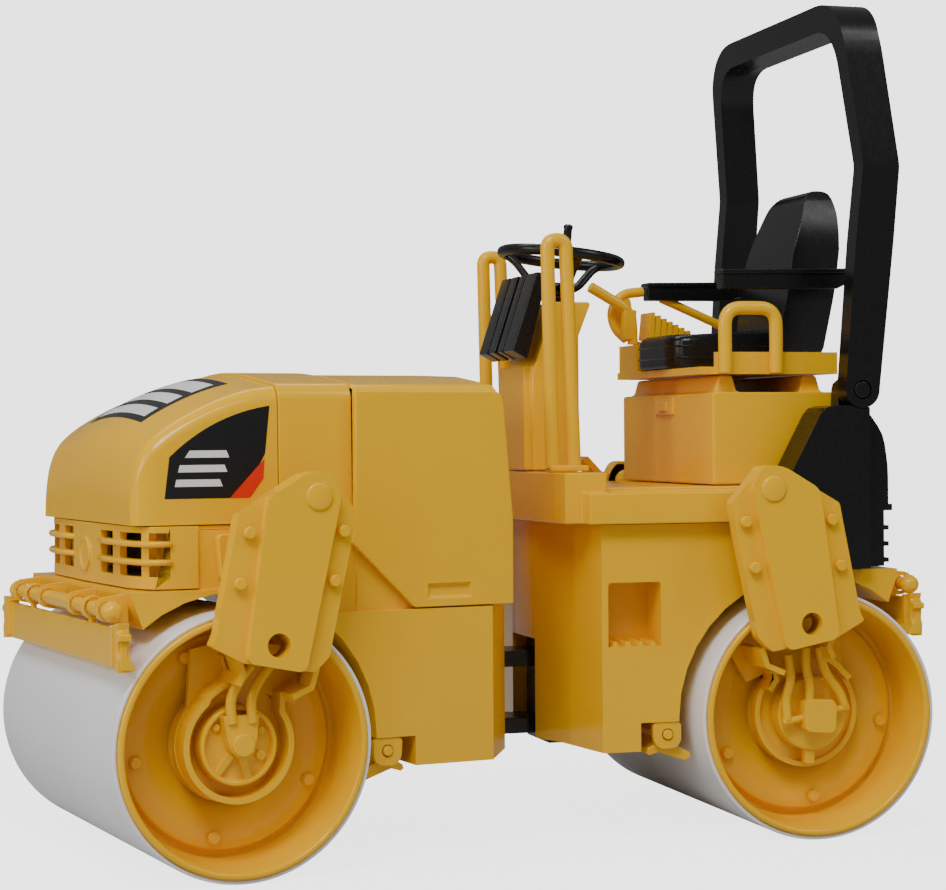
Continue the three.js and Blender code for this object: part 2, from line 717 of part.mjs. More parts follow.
function tank() {
  const { front, rear, halfWidth, top } = TANK;
  const base = DECK.floor + GAP;
  const shell = cut(
    box(rear, front, -halfWidth, halfWidth, base, top),
    box(rear + 2.5, front - 2.5, -halfWidth + 2.5, halfWidth - 2.5, base - 1, top - 2.5),
  );
  const under = SEAT.base - GAP;
  const rail = (x) => alongY([[x - 4, top - 1], [x + 4, top - 1], [x + 2.2, under], [x - 2.2, under]], -37, 37);
  const tail = box(rear - 5, rear + 20, -60, 60, 90, DECK.floor + 2);
  return cut(join(shell, rail(-74), rail(-102)), tail);
}

function footPedal() {
  const tread = [[-51, 108.6], [-53.4, 108.6], [-47, 115.4], [-45, 114.2]];
  return join(alongY(tread, -30, -16), rod(-52, 108.8, 1.6, -30, -16, 12));
}

place(rearFrame, "operator_deck", deck(), YELLOW);
place(rearFrame, "seat_tank", tank(), YELLOW);
place(rearFrame, "foot_pedal", footPedal(), YELLOW);

// ---------------------------------------------------------------- steering column and wheel
// Points on the steering wheel's own axis, which leans back towards the driver.
const wheelTurn = new THREE.Matrix4().makeRotationY(rad(-WHEEL.tiltDeg)).setPosition(WHEEL.x, 0, WHEEL.z);

function steeringColumn() {
  const { front, rear, halfWidth, top } = COLUMN;
  const foot = CONSOLE.top + GAP;
  const housing = [
    [front, foot],
    [front, 141],
    [front - 7.6, top],
    [rear - 4.2, top, 1],
    [rear, 153.3],
    [rear, foot],
  ];
  const neck = box(-16.1, front - 1, -13.5, 13.5, foot, 144);
  const bore = new THREE.CylinderGeometry(2.3, 2.3, 22, 16).rotateX(Math.PI / 2).translate(0, 0, -22);
  return cut(join(alongY(housing, -halfWidth, halfWidth), neck), solid(bore.applyMatrix4(wheelTurn)));
}

function dashCover() {
  const outer = [[-10.9, 148.7], [-18.9, 173, 1], [-22.6, 172.4, 1], [-19.4, 160], [-15.8, 146]];
  const slot = (y) => alongY([[-8, 152], [-16, 172], [-21, 172], [-13.4, 152]], y - 1.6, y + 1.6);
  const slab = alongY(outer, -19, 19);
  const back = box(-30, COLUMN.front + GAP, -30, 30, 140, 160);
  const lean = alongY([[-18, 141], [-18, 176], [-40, 176], [-40, 141]], -30, 30);
  const housingFront = alongY([[-18, 141], [-25.9 + 0.6, 164.4], [-40, 164.4], [-40, 141]], -15.3, 15.3);
  return cut(slab, slot(-9), slot(9), back.intersect(lean).intersect(housingFront), housingFront);
}

function steeringWheel() {
  const { radius, tube, dish } = WHEEL;
  const ring = Array.from({ length: 9 }, (_, i) => {
    const angle = (2 * Math.PI * i) / 8;
    return new THREE.Vector2(radius + tube * Math.cos(angle), tube * Math.sin(angle));
  });
  const rim = new THREE.LatheGeometry(ring, 24).rotateX(Math.PI / 2);
  const hub = new THREE.CylinderGeometry(4.4, 3.6, 4, 18).rotateX(Math.PI / 2).translate(0, 0, -dish);
  const spokes = [90, 210, 330].map((degrees) => {
    const [c, s] = [Math.cos(rad(degrees)), Math.sin(rad(degrees))];
    return bar([[2 * c, 2 * s, -dish], [radius * c, radius * s, -0.4]], 1.2, 6);
  });
  const knob = new THREE.CylinderGeometry(1.5, 1.5, 8.6, 12).rotateX(Math.PI / 2).translate(4.2, 17.8, 4.2);
  return join(solid(rim), solid(hub), solid(knob), ...spokes);
}

function steeringShaft() {
  const length = 17;
  const middle = -WHEEL.dish - 2 - GAP - length / 2;
  return new THREE.CylinderGeometry(2, 2, length, 16).rotateX(Math.PI / 2).translate(0, 0, middle);
}

// Moves a solid made about the wheel's own axis to its place on the column.
const onWheel = (piece) => piece.transform(wheelTurn.elements);

place(rearFrame, "steering_column", steeringColumn(), YELLOW);
place(rearFrame, "dash_cover", dashCover(), BLACK);
place(rearFrame, "steering_wheel", onWheel(steeringWheel()), BLACK);
place(rearFrame, "steering_shaft", solid(steeringShaft().applyMatrix4(wheelTurn)), BLACK);

function handrail() {
  const { y, tube, top } = RAIL;
  const foot = CONSOLE.top + GAP;
  const high = top - tube;
  const hoop = bar(
    [
      [-18.4, y, foot + 1],
      [-17.2, y, high],
      [-23, y, high],
      [-25.3, y, foot + 1],
    ],
    tube,
  );
  return join(hoop, box(-29.2, -17, y - 3, y + 3, foot, foot + 1.8));
}

for (const { name, mirror } of SIDES) {
  place(rearFrame, `handrail_${name}`, handrail(), YELLOW, 1, mirror);
}

// ---------------------------------------------------------------- seat, armrests and levers
function seatPlatform() {
  const { front, rear, halfWidth, base } = SEAT;
  const plate = box(rear, front, -halfWidth + 2, halfWidth - 2, base, base + 2.3);
  const walls = [1, -1].map((side) => box(rear, -70, side * (halfWidth - 3), side * halfWidth, base, 147.6));
  const upstand = box(front - 4, front, -36, -19, base, 152);
  const consoleBody = box(-86, front - 4.2, -34, -22, base, 153.4);
  return join(plate, ...walls, upstand, consoleBody);
}

function seatCushion() {
  const side = [
    [-64.2, 143.4, 1],
    [-63.4, 150.4, 3],
    [-66, 153.4, 2],
    [-84, 155.4],
    [-99.4, 155.6],
    [-99.4, 143.4],
  ];
  return alongY(side, -19, 19, 3);
}

function seatBack() {
  const side = [
    [-99.8, 143.4],
    [-100.6, 158],
    [-104.4, 180],
    [-110.6, 197.6, 3],
    [-114, 200.8, 3],
    [-120, 200.8, 3],
    [-121.2, 194, 2],
    [-120.6, 181],
    [-115.8, 150],
    [-113, 143.4],
  ];
  const half = [[16, 140], [20, 168, 4], [18.6, 188, 6], [12, 202, 5]];
  const across = [...half, ...half.map(([y, z, r]) => [-y, z, r]).reverse()];
  return alongY(side, -22, 22, 3).intersect(alongX(across, -125, -95, 3));
}

function armrest() {
  const beam = alongY([[-73, 167.4], [-73, 173.3], [-117, 174], [-117, 167.8]], 29.8, 36.6);
  const bracket = box(-114, -104, 20.4, 31, 168, 172);
  return join(beam, bracket);
}

function loopHandle() {
  const y = SEAT.halfWidth + GAP + 2.1;
  const path = [[-71.6, y, 141], [-71.6, y, 161], [-88.4, y, 161], [-88.4, y, 141]];
  return bar(path, 2.1, 8, 5.5);
}

// A bent grab tube in front of the right armrest.
function grabTube() {
  const y = -33.2;
  return bar(
    [[-66.8, y, 154.2], [-62.4, y, 158], [-61.2, y, 164], [-65, y, 169.6], [-72.6, y, 170.4]],
    1.7,
  );
}

function controlBoot() {
  const ribs = [0, 1, 2, 3, 4].map((i) => {
    const x = -72.6 - i * 3;
    const top = 161 - i * 1.5;
    return alongY([[x + 2.6, 153.7], [x + 2, top, 0.8], [x - 0.2, top, 0.8], [x - 0.8, 153.7]], -33, -23);
  });
  return join(...ribs);
}

function driveLever() {
  return bar([[-67, -28, 152.4], [-66.6, -28, 163.4], [-52, -28, 171.6]], 1.8);
}

place(rearFrame, "seat_platform", seatPlatform(), YELLOW);
place(rearFrame, "seat_cushion", seatCushion(), BLACK);
place(rearFrame, "seat_back", seatBack(), BLACK);
for (const { name, mirror } of SIDES) {
  place(rearFrame, `armrest_${name}`, armrest(), BLACK, 1, mirror);
}
place(rearFrame, "loop_handle", loopHandle(), YELLOW);
place(rearFrame, "grab_tube", grabTube(), YELLOW);
place(rearFrame, "control_boot", controlBoot(), YELLOW);
place(rearFrame, "drive_lever", driveLever(), YELLOW);

// ---------------------------------------------------------------- rear cover and roll bar
function rearCover() {
  const halfWidth = 46.5;
  const body = [
    [-110.6, 81.2],
    [-110.6, 131],
    [-117, 129.4, 2],
    [-122.4, 122, 3],
    [-123.9, 112, 3],
    [-123.9, 100.4],
    [-125.2, 100.4],
    [-125.2, 98.4],
    [-122.4, 98.4],
    [-122.4, 81.2],
  ];
  const cheek = [
    [-96.4, 81.2],
    [-96.4, 96.2],
    [-88.6, 96.2],
    [-88.6, 105.6],
    [-87, 110.1],
    [-98.2, 130.8, 3],
    [-113.2, 130.8],
    [-113.2, 81.2],
  ];
  const shell = cut(
    alongY(body, -halfWidth, halfWidth),
    box(-121, -105, -halfWidth + 2.4, halfWidth - 2.4, 70, 121),
  );
  const { foot, inner, base } = HOOP;
  const { x: pinX, z: pinZ, radius: pin } = HOOP_PIN;
  const cheeks = [1, -1].map((side) => {
    const [y0, y1] = [side * 43, side * base].sort((a, b) => a - b);
    const saddle = rod(pinX, pinZ, foot + GAP, side * (inner - GAP), side * 60, 20);
    return cut(alongY(cheek, y0, y1), saddle);
  });
  const earSide = [[-116, 126], [-105.6, 126], [-106, 138, 2], [-110.7, 140.2, 3], [-115.4, 138, 2]];
  const ears = [1, -1].map((side) => {
    const [y0, y1] = [side * 44, side * (inner - GAP)].sort((a, b) => a - b);
    return cut(alongY(earSide, y0, y1), rod(pinX, pinZ, pin + GAP, -60, 60, 16));
  });
  const fins = [82.4, 87.4, 92.4].map((z) => box(-124, -121.6, -halfWidth, halfWidth, z, z + 1.4));
  return join(shell, ...cheeks, ...ears, ...fins);
}

const hoopPin = () => rod(HOOP_PIN.x, HOOP_PIN.z, HOOP_PIN.radius, 44, HOOP.base + 0.4, 16);

function rollBar() {
  const { foot, kneeZ, top, halfWidth, base, inner } = HOOP;
  const { x: pinX, z: pinZ, radius: pin } = HOOP_PIN;
  const side = [
    [pinX + foot, pinZ],
    [-108.3, 181],
    [-110.6, kneeZ],
    [-106.2, 244],
    [-105.6, top],
    [-118.6, top],
    [-118.4, 244],
    [-122.7, kneeZ],
    [-120.8, 181],
    [pinX - foot, pinZ],
  ];
  const hoopHalf = [[base, 120], [halfWidth, kneeZ], [52.6, top, 18]];
  const mouthHalf = [[inner, 110], [51.3, kneeZ], [46.2, 247.4, 13]];
  const both = (half) => [...half, ...half.map(([y, z]) => [-y, z]).reverse()];
  const frame = cut(alongX(both(hoopHalf), -130, -100), alongX(both(mouthHalf), -131, -99));
  const feet = rod(pinX, pinZ, foot, -60, 60, 20);
  const bore = rod(pinX, pinZ, pin + GAP, -70, 70, 16);
  return cut(join(alongY(side, -60, 60), feet).intersect(frame), bore);
}

place(rearFrame, "rear_cover", rearCover(), BLACK);
for (const { name, mirror } of SIDES) {
  place(rearFrame, `roll_bar_pin_${name}`, hoopPin(), BLACK, 1, mirror);
}
place(rearFrame, "roll_bar", rollBar(), BLACK);

export default machine;
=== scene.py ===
"""Toy road roller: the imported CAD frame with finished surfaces.

Lengths are millimetres in each frame's own axes, x forward, y left and z up, until mesh_of turns
them into metres. The lights, the camera and the textures' sizes are in metres.
"""

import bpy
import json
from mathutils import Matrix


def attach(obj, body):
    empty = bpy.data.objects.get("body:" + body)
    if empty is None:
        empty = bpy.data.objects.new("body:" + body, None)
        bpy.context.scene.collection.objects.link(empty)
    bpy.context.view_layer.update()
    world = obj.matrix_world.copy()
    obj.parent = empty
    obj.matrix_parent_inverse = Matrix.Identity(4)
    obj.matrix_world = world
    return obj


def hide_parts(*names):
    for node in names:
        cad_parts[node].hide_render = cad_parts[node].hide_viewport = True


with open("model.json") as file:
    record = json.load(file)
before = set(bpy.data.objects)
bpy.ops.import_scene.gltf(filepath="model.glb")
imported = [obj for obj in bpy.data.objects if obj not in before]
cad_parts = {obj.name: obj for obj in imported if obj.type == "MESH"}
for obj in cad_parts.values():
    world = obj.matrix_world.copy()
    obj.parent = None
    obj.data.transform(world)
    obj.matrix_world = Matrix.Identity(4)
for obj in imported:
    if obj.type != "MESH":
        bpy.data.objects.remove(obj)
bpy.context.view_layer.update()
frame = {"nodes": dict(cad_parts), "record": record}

import json
import math

import bmesh
import bpy
from mathutils import Matrix, Vector
from mathutils.bvhtree import BVHTree

MM = 0.001
RESTING_STEER = math.radians(9.757)
REAR = Matrix.Translation((-3.7, -7.4, 0))
FRONT = REAR @ Matrix.Rotation(RESTING_STEER, 4, "Z")
SAME = Matrix.Identity(4)
FLIP_X = Matrix.Diagonal((-1, 1, 1, 1))
FLIP_Y = Matrix.Diagonal((1, -1, 1, 1))
SWAP_XY = Matrix(((0, 1, 0, 0), (1, 0, 0, 0), (0, 0, 1, 0), (0, 0, 0, 1)))
ENDS = (("front", FRONT), ("rear", REAR @ FLIP_X))
SIDES = (("left", SAME), ("right", FLIP_Y))
UPWARD = Vector((0, 0, 1))
# Where a drum's axle is in x and z, and the radius under which a turned profile counts as on its line.
AXLE = (94.54, 37.5)
ON_LINE = 0.02

BODIES = frame["record"]["behaviour"]["bodies"]
BODY_OF = {node: body for body, nodes in BODIES.items() for node in nodes}
SLOT_OF = {part["node"]: part["material_slot"] for part in frame["record"]["subparts"]}
# The nodes that already have their finished piece.
FINISHED = set()


# ---------------------------------------------------------------- materials
def shader(name):
    """A new node material and its nodes, links and Principled shader."""
    material = bpy.data.materials.new(name)
    material.use_nodes = True
    nodes, links = material.node_tree.nodes, material.node_tree.links
    return material, nodes, links, nodes["Principled BSDF"]


def noise(nodes, links, scale, detail, stretch=(1, 1, 1)):
    """Noise in object space, drawn out along an axis where stretch says so."""
    coords = nodes.new("ShaderNodeTexCoord")
    mapping = nodes.new("ShaderNodeMapping")
    mapping.inputs["Scale"].default_value = stretch
    texture = nodes.new("ShaderNodeTexNoise")
    texture.inputs["Scale"].default_value = scale
    texture.inputs["Detail"].default_value = detail
    links.new(coords.outputs["Object"], mapping.inputs["Vector"])
    links.new(mapping.outputs["Vector"], texture.inputs["Vector"])
    return texture.outputs["Fac"]


def remap(nodes, links, value, low, high, start=0.3, end=0.7):
    """The value from start..end mapped to low..high."""
    node = nodes.new("ShaderNodeMapRange")
    node.inputs["From Min"].default_value = start
    node.inputs["From Max"].default_value = end
    node.inputs["To Min"].default_value = low
    node.inputs["To Max"].default_value = high
    links.new(value, node.inputs["Value"])
    return node.outputs["Result"]


def tint(nodes, links, factor, first, second):
    """One colour blended into another by the factor."""
    mix = nodes.new("ShaderNodeMix")
    mix.data_type = "RGBA"
    mix.inputs["A"].default_value = (*first, 1)
    mix.inputs["B"].default_value = (*second, 1)
    links.new(factor, mix.inputs["Factor"])
    return mix.outputs["Result"]


def relief(nodes, links, bsdf, heights):
    """Bumps chained onto the shader's normal; heights are (value, strength, distance)."""
    previous = None
    for value, strength, distance in heights:
        bump = nodes.new("ShaderNodeBump")
        bump.inputs["Strength"].default_value = strength
        bump.inputs["Distance"].default_value = distance
        links.new(value, bump.inputs["Height"])
        if previous:
            links.new(previous.outputs["Normal"], bump.inputs["Normal"])
        previous = bump
    links.new(previous.outputs["Normal"], bsdf.inputs["Normal"])


def plastic(name, light, dark, rough, grain, glow=0.0):
    """Moulded plastic: slow tone drift, flow marks, handling scuffs and a fine surface grain."""
    material, nodes, links, bsdf = shader(name)
    drift = noise(nodes, links, 22, 3)
    flow = noise(nodes, links, 60, 4, (1, 0.35, 2.2))
    scuffs = noise(nodes, links, 900, 5, (1, 0.06, 0.5))
    fine = noise(nodes, links, 2600, 2)
    colour = tint(nodes, links, remap(nodes, links, drift, 0, 1), light, dark)
    links.new(colour, bsdf.inputs["Base Color"])
    spread = remap(nodes, links, scuffs, rough - 0.03, rough + 0.06)
    links.new(spread, bsdf.inputs["Roughness"])
    bsdf.inputs["Specular IOR Level"].default_value = 0.42
    bsdf.inputs["Subsurface Weight"].default_value = glow
    bsdf.inputs["Subsurface Radius"].default_value = (0.004, 0.0018, 0.0003)
    bsdf.inputs["Subsurface Scale"].default_value = 0.6
    heights = [(flow, 0.025, 0.0001), (fine, grain, 0.00003), (scuffs, 0.03, 0.00002)]
    relief(nodes, links, bsdf, heights)
    return material


def sleeve_plastic(name):
    """Silver-grey drum skin: faint rings round the drum, a metal flake and rolled-on scuffs."""
    material, nodes, links, bsdf = shader(name)
    drift = noise(nodes, links, 30, 4)
    flake = noise(nodes, links, 5200, 1)
    scuffs = noise(nodes, links, 420, 6, (0.5, 0.05, 0.5))
    tone = nodes.new("ShaderNodeMath")
    tone.operation = "ADD"
    links.new(remap(nodes, links, drift, 0, 0.6), tone.inputs[0])
    links.new(remap(nodes, links, flake, 0, 0.4), tone.inputs[1])
    colour = tint(nodes, links, tone.outputs[0], (0.95, 0.955, 0.97), (0.88, 0.885, 0.9))
    links.new(colour, bsdf.inputs["Base Color"])
    links.new(remap(nodes, links, scuffs, 0.36, 0.52), bsdf.inputs["Roughness"])
    bsdf.inputs["Metallic"].default_value = 0.05
    relief(nodes, links, bsdf, [(flake, 0.06, 0.00003), (scuffs, 0.08, 0.00004)])
    return material


def brushed_steel(name):
    """Turned steel: fine lines along x and a slow grey stain."""
    material, nodes, links, bsdf = shader(name)
    lines = noise(nodes, links, 1500, 3, (0.03, 1, 1))
    stain = noise(nodes, links, 90, 4)
    tone = remap(nodes, links, stain, 0, 1)
    colour = tint(nodes, links, tone, (0.56, 0.57, 0.59), (0.42, 0.42, 0.44))
    links.new(colour, bsdf.inputs["Base Color"])
    links.new(remap(nodes, links, lines, 0.24, 0.42), bsdf.inputs["Roughness"])
    bsdf.inputs["Metallic"].default_value = 1
    relief(nodes, links, bsdf, [(lines, 0.1, 0.00003)])
    return material


YELLOW = plastic("yellow_gloss", (0.95, 0.52, 0.0), (0.94, 0.5, 0.0), 0.17, 0.02, glow=0.04)
BLACK = plastic("black_satin", (0.006, 0.006, 0.0065), (0.0075, 0.0075, 0.008), 0.24, 0.08)
PANEL_BLACK = plastic("decal_black", (0.008, 0.008, 0.009), (0.013, 0.013, 0.014), 0.3, 0.08)
PANEL_RED = plastic("decal_red", (0.8, 0.03, 0.008), (0.72, 0.02, 0.006), 0.3, 0.05)
PANEL_WHITE = plastic("decal_white", (0.86, 0.86, 0.84), (0.8, 0.8, 0.78), 0.32, 0.05)
SLEEVE = sleeve_plastic("grey_drum_skin")
STEEL = brushed_steel("turned_steel")
FINISH = {"yellow_plastic": YELLOW, "black_plastic": BLACK, "grey_sleeve": SLEEVE, "steel": STEEL}


# ---------------------------------------------------------------- making pieces
def clean(bm):
    """Joins doubled corners and turns the faces outwards."""
    bmesh.ops.remove_doubles(bm, verts=bm.verts, dist=1e-4)
    bmesh.ops.recalc_face_normals(bm, faces=bm.faces)


def mesh_of(name, bm, matrix):
    """A mesh in metres from millimetre geometry laid out in one frame's own axes."""
    bm.transform(Matrix.Scale(MM, 4) @ matrix)
    if matrix.determinant() < 0:
        bmesh.ops.reverse_faces(bm, faces=bm.faces)
    mesh = bpy.data.meshes.new(name)
    bm.to_mesh(mesh)
    bm.free()
    mesh.shade_smooth()
    return mesh


def lay(name, mesh, material=None):
    """Puts a mesh into the scene as an object, with its finish."""
    obj = bpy.data.objects.new(name, mesh)
    bpy.context.scene.collection.objects.link(obj)
    if material:
        obj.data.materials.append(material)
    return obj


def soften(obj, width, segments=2, angle=24):
    """Rounds the hard edges and evens the shading, then bakes both into the mesh."""
    bevel = obj.modifiers.new("edges", "BEVEL")
    bevel.width = width * MM
    bevel.segments = segments
    bevel.limit_method = "ANGLE"
    bevel.angle_limit = math.radians(angle)
    bevel.use_clamp_overlap = True
    even = obj.modifiers.new("shading", "WEIGHTED_NORMAL")
    even.weight = 60
    bake(obj)


def bake(obj):
    """Turns an object's modifiers into plain mesh."""
    bpy.context.view_layer.update()
    finished = obj.evaluated_get(bpy.context.evaluated_depsgraph_get())
    mesh = bpy.data.meshes.new_from_object(finished)
    obj.modifiers.clear()
    obj.data = mesh


def add(name, mesh, material, node, extra=False):
    """Shows a mesh that needs no rounding as a piece that moves with the node's body."""
    settle(lay(name, mesh, material), node, extra)


def settle(obj, node, extra=False):
    """Hangs a piece on the node's body, in place of the node unless it is an extra detail."""
    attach(obj, BODY_OF[node])
    if not extra:
        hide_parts(node)
        FINISHED.add(node)


def rounded_copy(node, width):
    """The CAD piece with its flats merged, its edges rounded and its finish on."""
    source = frame["nodes"][node]
    bm = bmesh.new()
    bm.from_mesh(source.data)
    bm.transform(source.matrix_world)
    bmesh.ops.remove_doubles(bm, verts=bm.verts, dist=2e-6)
    bmesh.ops.dissolve_limit(bm, angle_limit=math.radians(1.2), verts=bm.verts, edges=bm.edges)
    mesh = bpy.data.meshes.new("skin_" + node)
    bm.to_mesh(mesh)
    bm.free()
    mesh.shade_smooth()
    mesh.materials.clear()
    obj = lay("skin_" + node, mesh, FINISH[SLOT_OF[node]])
    soften(obj, width, 3)
    settle(obj, node)


def lathe(profile, sides, centre):
    """(radius, y) points turned about a line along y through centre (x, z).

    A profile that starts on the line gets flat caps in place of its first and last points.
    """
    capped = profile[0][0] < ON_LINE
    profile = profile[1:-1] if capped else profile
    bm = bmesh.new()
    rings = []
    for k in range(sides):
        angle = 2 * math.pi * k / sides
        c, s = math.cos(angle), math.sin(angle)
        rings.append([bm.verts.new((centre[0] + r * c, y, centre[1] + r * s)) for r, y in profile])
    count = len(profile)
    for k in range(sides):
        one, two = rings[k], rings[(k + 1) % sides]
        for i in range(count - 1 if capped else count):
            j = (i + 1) % count
            bm.faces.new((one[i], one[j], two[j], two[i]))
    if capped:
        bm.faces.new([ring[0] for ring in rings])
        bm.faces.new([ring[-1] for ring in rings])
    clean(bm)
    return bm


def rounded(points, radius, steps=4, closed=False):
    """A path with each corner turned into an arc-like bend that starts radius away from it."""
    points = [Vector(p) for p in points]
    path = [] if closed else [points[0]]
    inner = range(len(points)) if closed else range(1, len(points) - 1)
    for i in inner:
        here, before, after = points[i], points[i - 1], points[(i + 1) % len(points)]
        reach = min(radius, 0.49 * (before - here).length, 0.49 * (after - here).length)
        start = here + (before - here).normalized() * reach
        end = here + (after - here).normalized() * reach
        for k in range(steps + 1):
            t = k / steps
            path.append(start * (1 - t) ** 2 + here * 2 * t * (1 - t) + end * t**2)
    if not closed:
        path.append(points[-1])
    return path


def tube(bm, path, radius, sides=20, squash=1.0, side=Vector((0, 1, 0))):
    """A round bar along a path that bends in the plane square to side."""
    rings = []
    count = len(path)
    for i, centre in enumerate(path):
        along = (path[min(i + 1, count - 1)] - path[max(i - 1, 0)]).normalized()
        out = along.cross(side)
        out = out.normalized() if out.length > 1e-6 else Vector((1, 0, 0))
        across = out.cross(along)
        rings.append([
            bm.verts.new(centre + out * radius * math.cos(a) + across * radius * squash * math.sin(a))
            for a in (2 * math.pi * (k + 0.5) / sides for k in range(sides))
        ])
    for one, two in zip(rings, rings[1:]):
        for k in range(sides):
            n = (k + 1) % sides
            bm.faces.new((one[k], one[n], two[n], two[k]))
    bm.faces.new(rings[0][::-1])
    bm.faces.new(rings[-1])


def disc_plate(bm, centre, radius, y0, y1, sides=48, bevel=0.4):
    """A short cylinder along y with a rounded outer edge."""
    corner = bevel * 0.3
    edge = [(radius, y1 - bevel), (radius - corner, y1 - corner), (radius - bevel, y1)]
    absorb(bm, lathe([(0.01, y0), (radius, y0), *edge, (0.01, y1)], sides, centre))


def absorb(bm, part, matrix=SAME):
    """Moves one closed form into another mesh, turned the right way out."""
    mesh = bpy.data.meshes.new("part")
    part.transform(matrix)
    if matrix.determinant() < 0:
        bmesh.ops.reverse_faces(part, faces=part.faces)
    part.to_mesh(mesh)
    part.free()
    bm.from_mesh(mesh)
    bpy.data.meshes.remove(mesh)


def prism(outline, y0, y1):
    """A flat outline in x, z pulled along y."""
    bm = bmesh.new()
    near = [bm.verts.new((x, y0, z)) for x, z in outline]
    far = [bm.verts.new((x, y1, z)) for x, z in outline]
    bm.faces.new(near)
    bm.faces.new(far[::-1])
    for i in range(len(outline)):
        j = (i + 1) % len(outline)
        bm.faces.new((near[i], far[i], far[j], near[j]))
    clean(bm)
    return bm


def bored_plate(outline, hole, y0, y1):
    """A flat outline with one round hole, pulled along y; hole is (x, z, radius)."""
    bm = bmesh.new()
    turns = (2 * math.pi * k / 40 for k in range(40))
    x, z, radius = hole
    bore = [(x + radius * math.cos(a), z + radius * math.sin(a)) for a in turns]
    edges = []
    for loop in (outline, bore):
        verts = [bm.verts.new((x, y0, z)) for x, z in loop]
        edges += [bm.edges.new((verts[i - 1], verts[i])) for i in range(len(verts))]
    bmesh.ops.triangle_fill(bm, use_beauty=True, edges=edges)
    new = bmesh.ops.extrude_face_region(bm, geom=bm.faces[:])["geom"]
    far = [v for v in new if isinstance(v, bmesh.types.BMVert)]
    bmesh.ops.translate(bm, vec=(0, y1 - y0, 0), verts=far)
    clean(bm)
    return bm


def flat(points, radius, steps=6):
    """A closed x, z outline with rounded corners."""
    return [(p.x, p.y) for p in rounded([(x, z, 0) for x, z in points], radius, steps, True)]


def bend(points, radius, steps):
    """An open outline with rounded corners."""
    return [(p.x, p.y) for p in rounded([(a, b, 0) for a, b in points], radius, steps)]


def strip(path, half):
    """The outline of a wall of the given half thickness that follows a path in x, z."""
    left, right_side = [], []
    for i, (x, z) in enumerate(path):
        ax, az = path[max(i - 1, 0)]
        bx, bz = path[min(i + 1, len(path) - 1)]
        length = math.hypot(bx - ax, bz - az)
        nx, nz = -(bz - az) / length * half, (bx - ax) / length * half
        left.append((x + nx, z + nz))
        right_side.append((x - nx, z - nz))
    return left + right_side[::-1]


def around(start, end, radius, steps):
    """Points on a circle about the drum's axle, between two angles in degrees."""
    angles = (math.radians(start + (end - start) * i / steps) for i in range(steps + 1))
    return [(AXLE[0] + radius * math.cos(a), AXLE[1] + radius * math.sin(a)) for a in angles]


def arc(p, q, bulge, steps=10):
    """Points after p up to and including q on a shallow curve."""
    (x0, z0), (x1, z1) = p, q
    nx, nz = -(z1 - z0), x1 - x0
    length = math.hypot(nx, nz)
    out = []
    for i in range(1, steps + 1):
        t = i / steps
        h = bulge * 4 * t * (1 - t)
        x, z = x0 + (x1 - x0) * t, z0 + (z1 - z0) * t
        out.append((x + nx / length * h, z + nz / length * h))
    return out


def finish_bm(node, bm, matrix, width=0.4, angle=35, material=YELLOW):
    """Rounds a built form and shows it in place of the node."""
    obj = lay("skin_" + node, mesh_of("skin_" + node, bm, matrix), material)
    soften(obj, width, 2, angle)
    settle(obj, node)


def extra_part(name, bm, matrix, node, width=0.4):
    """A small fixed yellow detail that rides with the node's body."""
    obj = lay(name, mesh_of(name, bm, matrix), YELLOW)
    soften(obj, width, 2, 35)
    settle(obj, node, True)


def combine(obj, operation, bm, matrix):
    """Cuts or crosses the object with another closed form and bakes the result."""
    tool = lay("tool", mesh_of("tool", bm, matrix))
    step = obj.modifiers.new("combine", "BOOLEAN")
    step.operation, step.solver, step.object = operation, "EXACT", tool
    bake(obj)
    bpy.data.objects.remove(tool)


# ---------------------------------------------------------------- repeated heads
def heads_group():
    """Geometry nodes that put a domed head on every point, facing along y."""
    group = bpy.data.node_groups.new("bolt_heads", "GeometryNodeTree")
    group.is_modifier = True
    face = group.interface
    face.new_socket("Geometry", in_out="INPUT", socket_type="NodeSocketGeometry")
    sizes = (("Radius", "Float", 1.7 * MM), ("Height", "Float", 1.4 * MM), ("Sides", "Int", 6))
    for name, kind, value in sizes:
        socket = face.new_socket(name, in_out="INPUT", socket_type="NodeSocket" + kind)
        socket.default_value = value
    face.new_socket("Material", in_out="INPUT", socket_type="NodeSocketMaterial")
    face.new_socket("Geometry", in_out="OUTPUT", socket_type="NodeSocketGeometry")
    nodes, links = group.nodes, group.links
    start, end = nodes.new("NodeGroupInput"), nodes.new("NodeGroupOutput")
    head = nodes.new("GeometryNodeMeshCone")
    head.inputs["Side Segments"].default_value = 2
    taper = nodes.new("ShaderNodeMath")
    taper.operation = "MULTIPLY"
    taper.inputs[1].default_value = 0.82
    turn = nodes.new("GeometryNodeTransform")
    turn.inputs["Rotation"].default_value = (-math.pi / 2, 0, 0)
    place = nodes.new("GeometryNodeInstanceOnPoints")
    real = nodes.new("GeometryNodeRealizeInstances")
    paint = nodes.new("GeometryNodeSetMaterial")
    links.new(start.outputs["Radius"], head.inputs["Radius Bottom"])
    links.new(start.outputs["Radius"], taper.inputs[0])
    links.new(taper.outputs[0], head.inputs["Radius Top"])
    links.new(start.outputs["Height"], head.inputs["Depth"])
    links.new(start.outputs["Sides"], head.inputs["Vertices"])
    links.new(head.outputs["Mesh"], turn.inputs["Geometry"])
    links.new(start.outputs["Geometry"], place.inputs["Points"])
    links.new(turn.outputs["Geometry"], place.inputs["Instance"])
    links.new(place.outputs["Instances"], real.inputs["Geometry"])
    links.new(real.outputs["Geometry"], paint.inputs["Geometry"])
    links.new(start.outputs["Material"], paint.inputs["Material"])
    links.new(paint.outputs["Geometry"], end.inputs["Geometry"])
    return group


HEADS = heads_group()


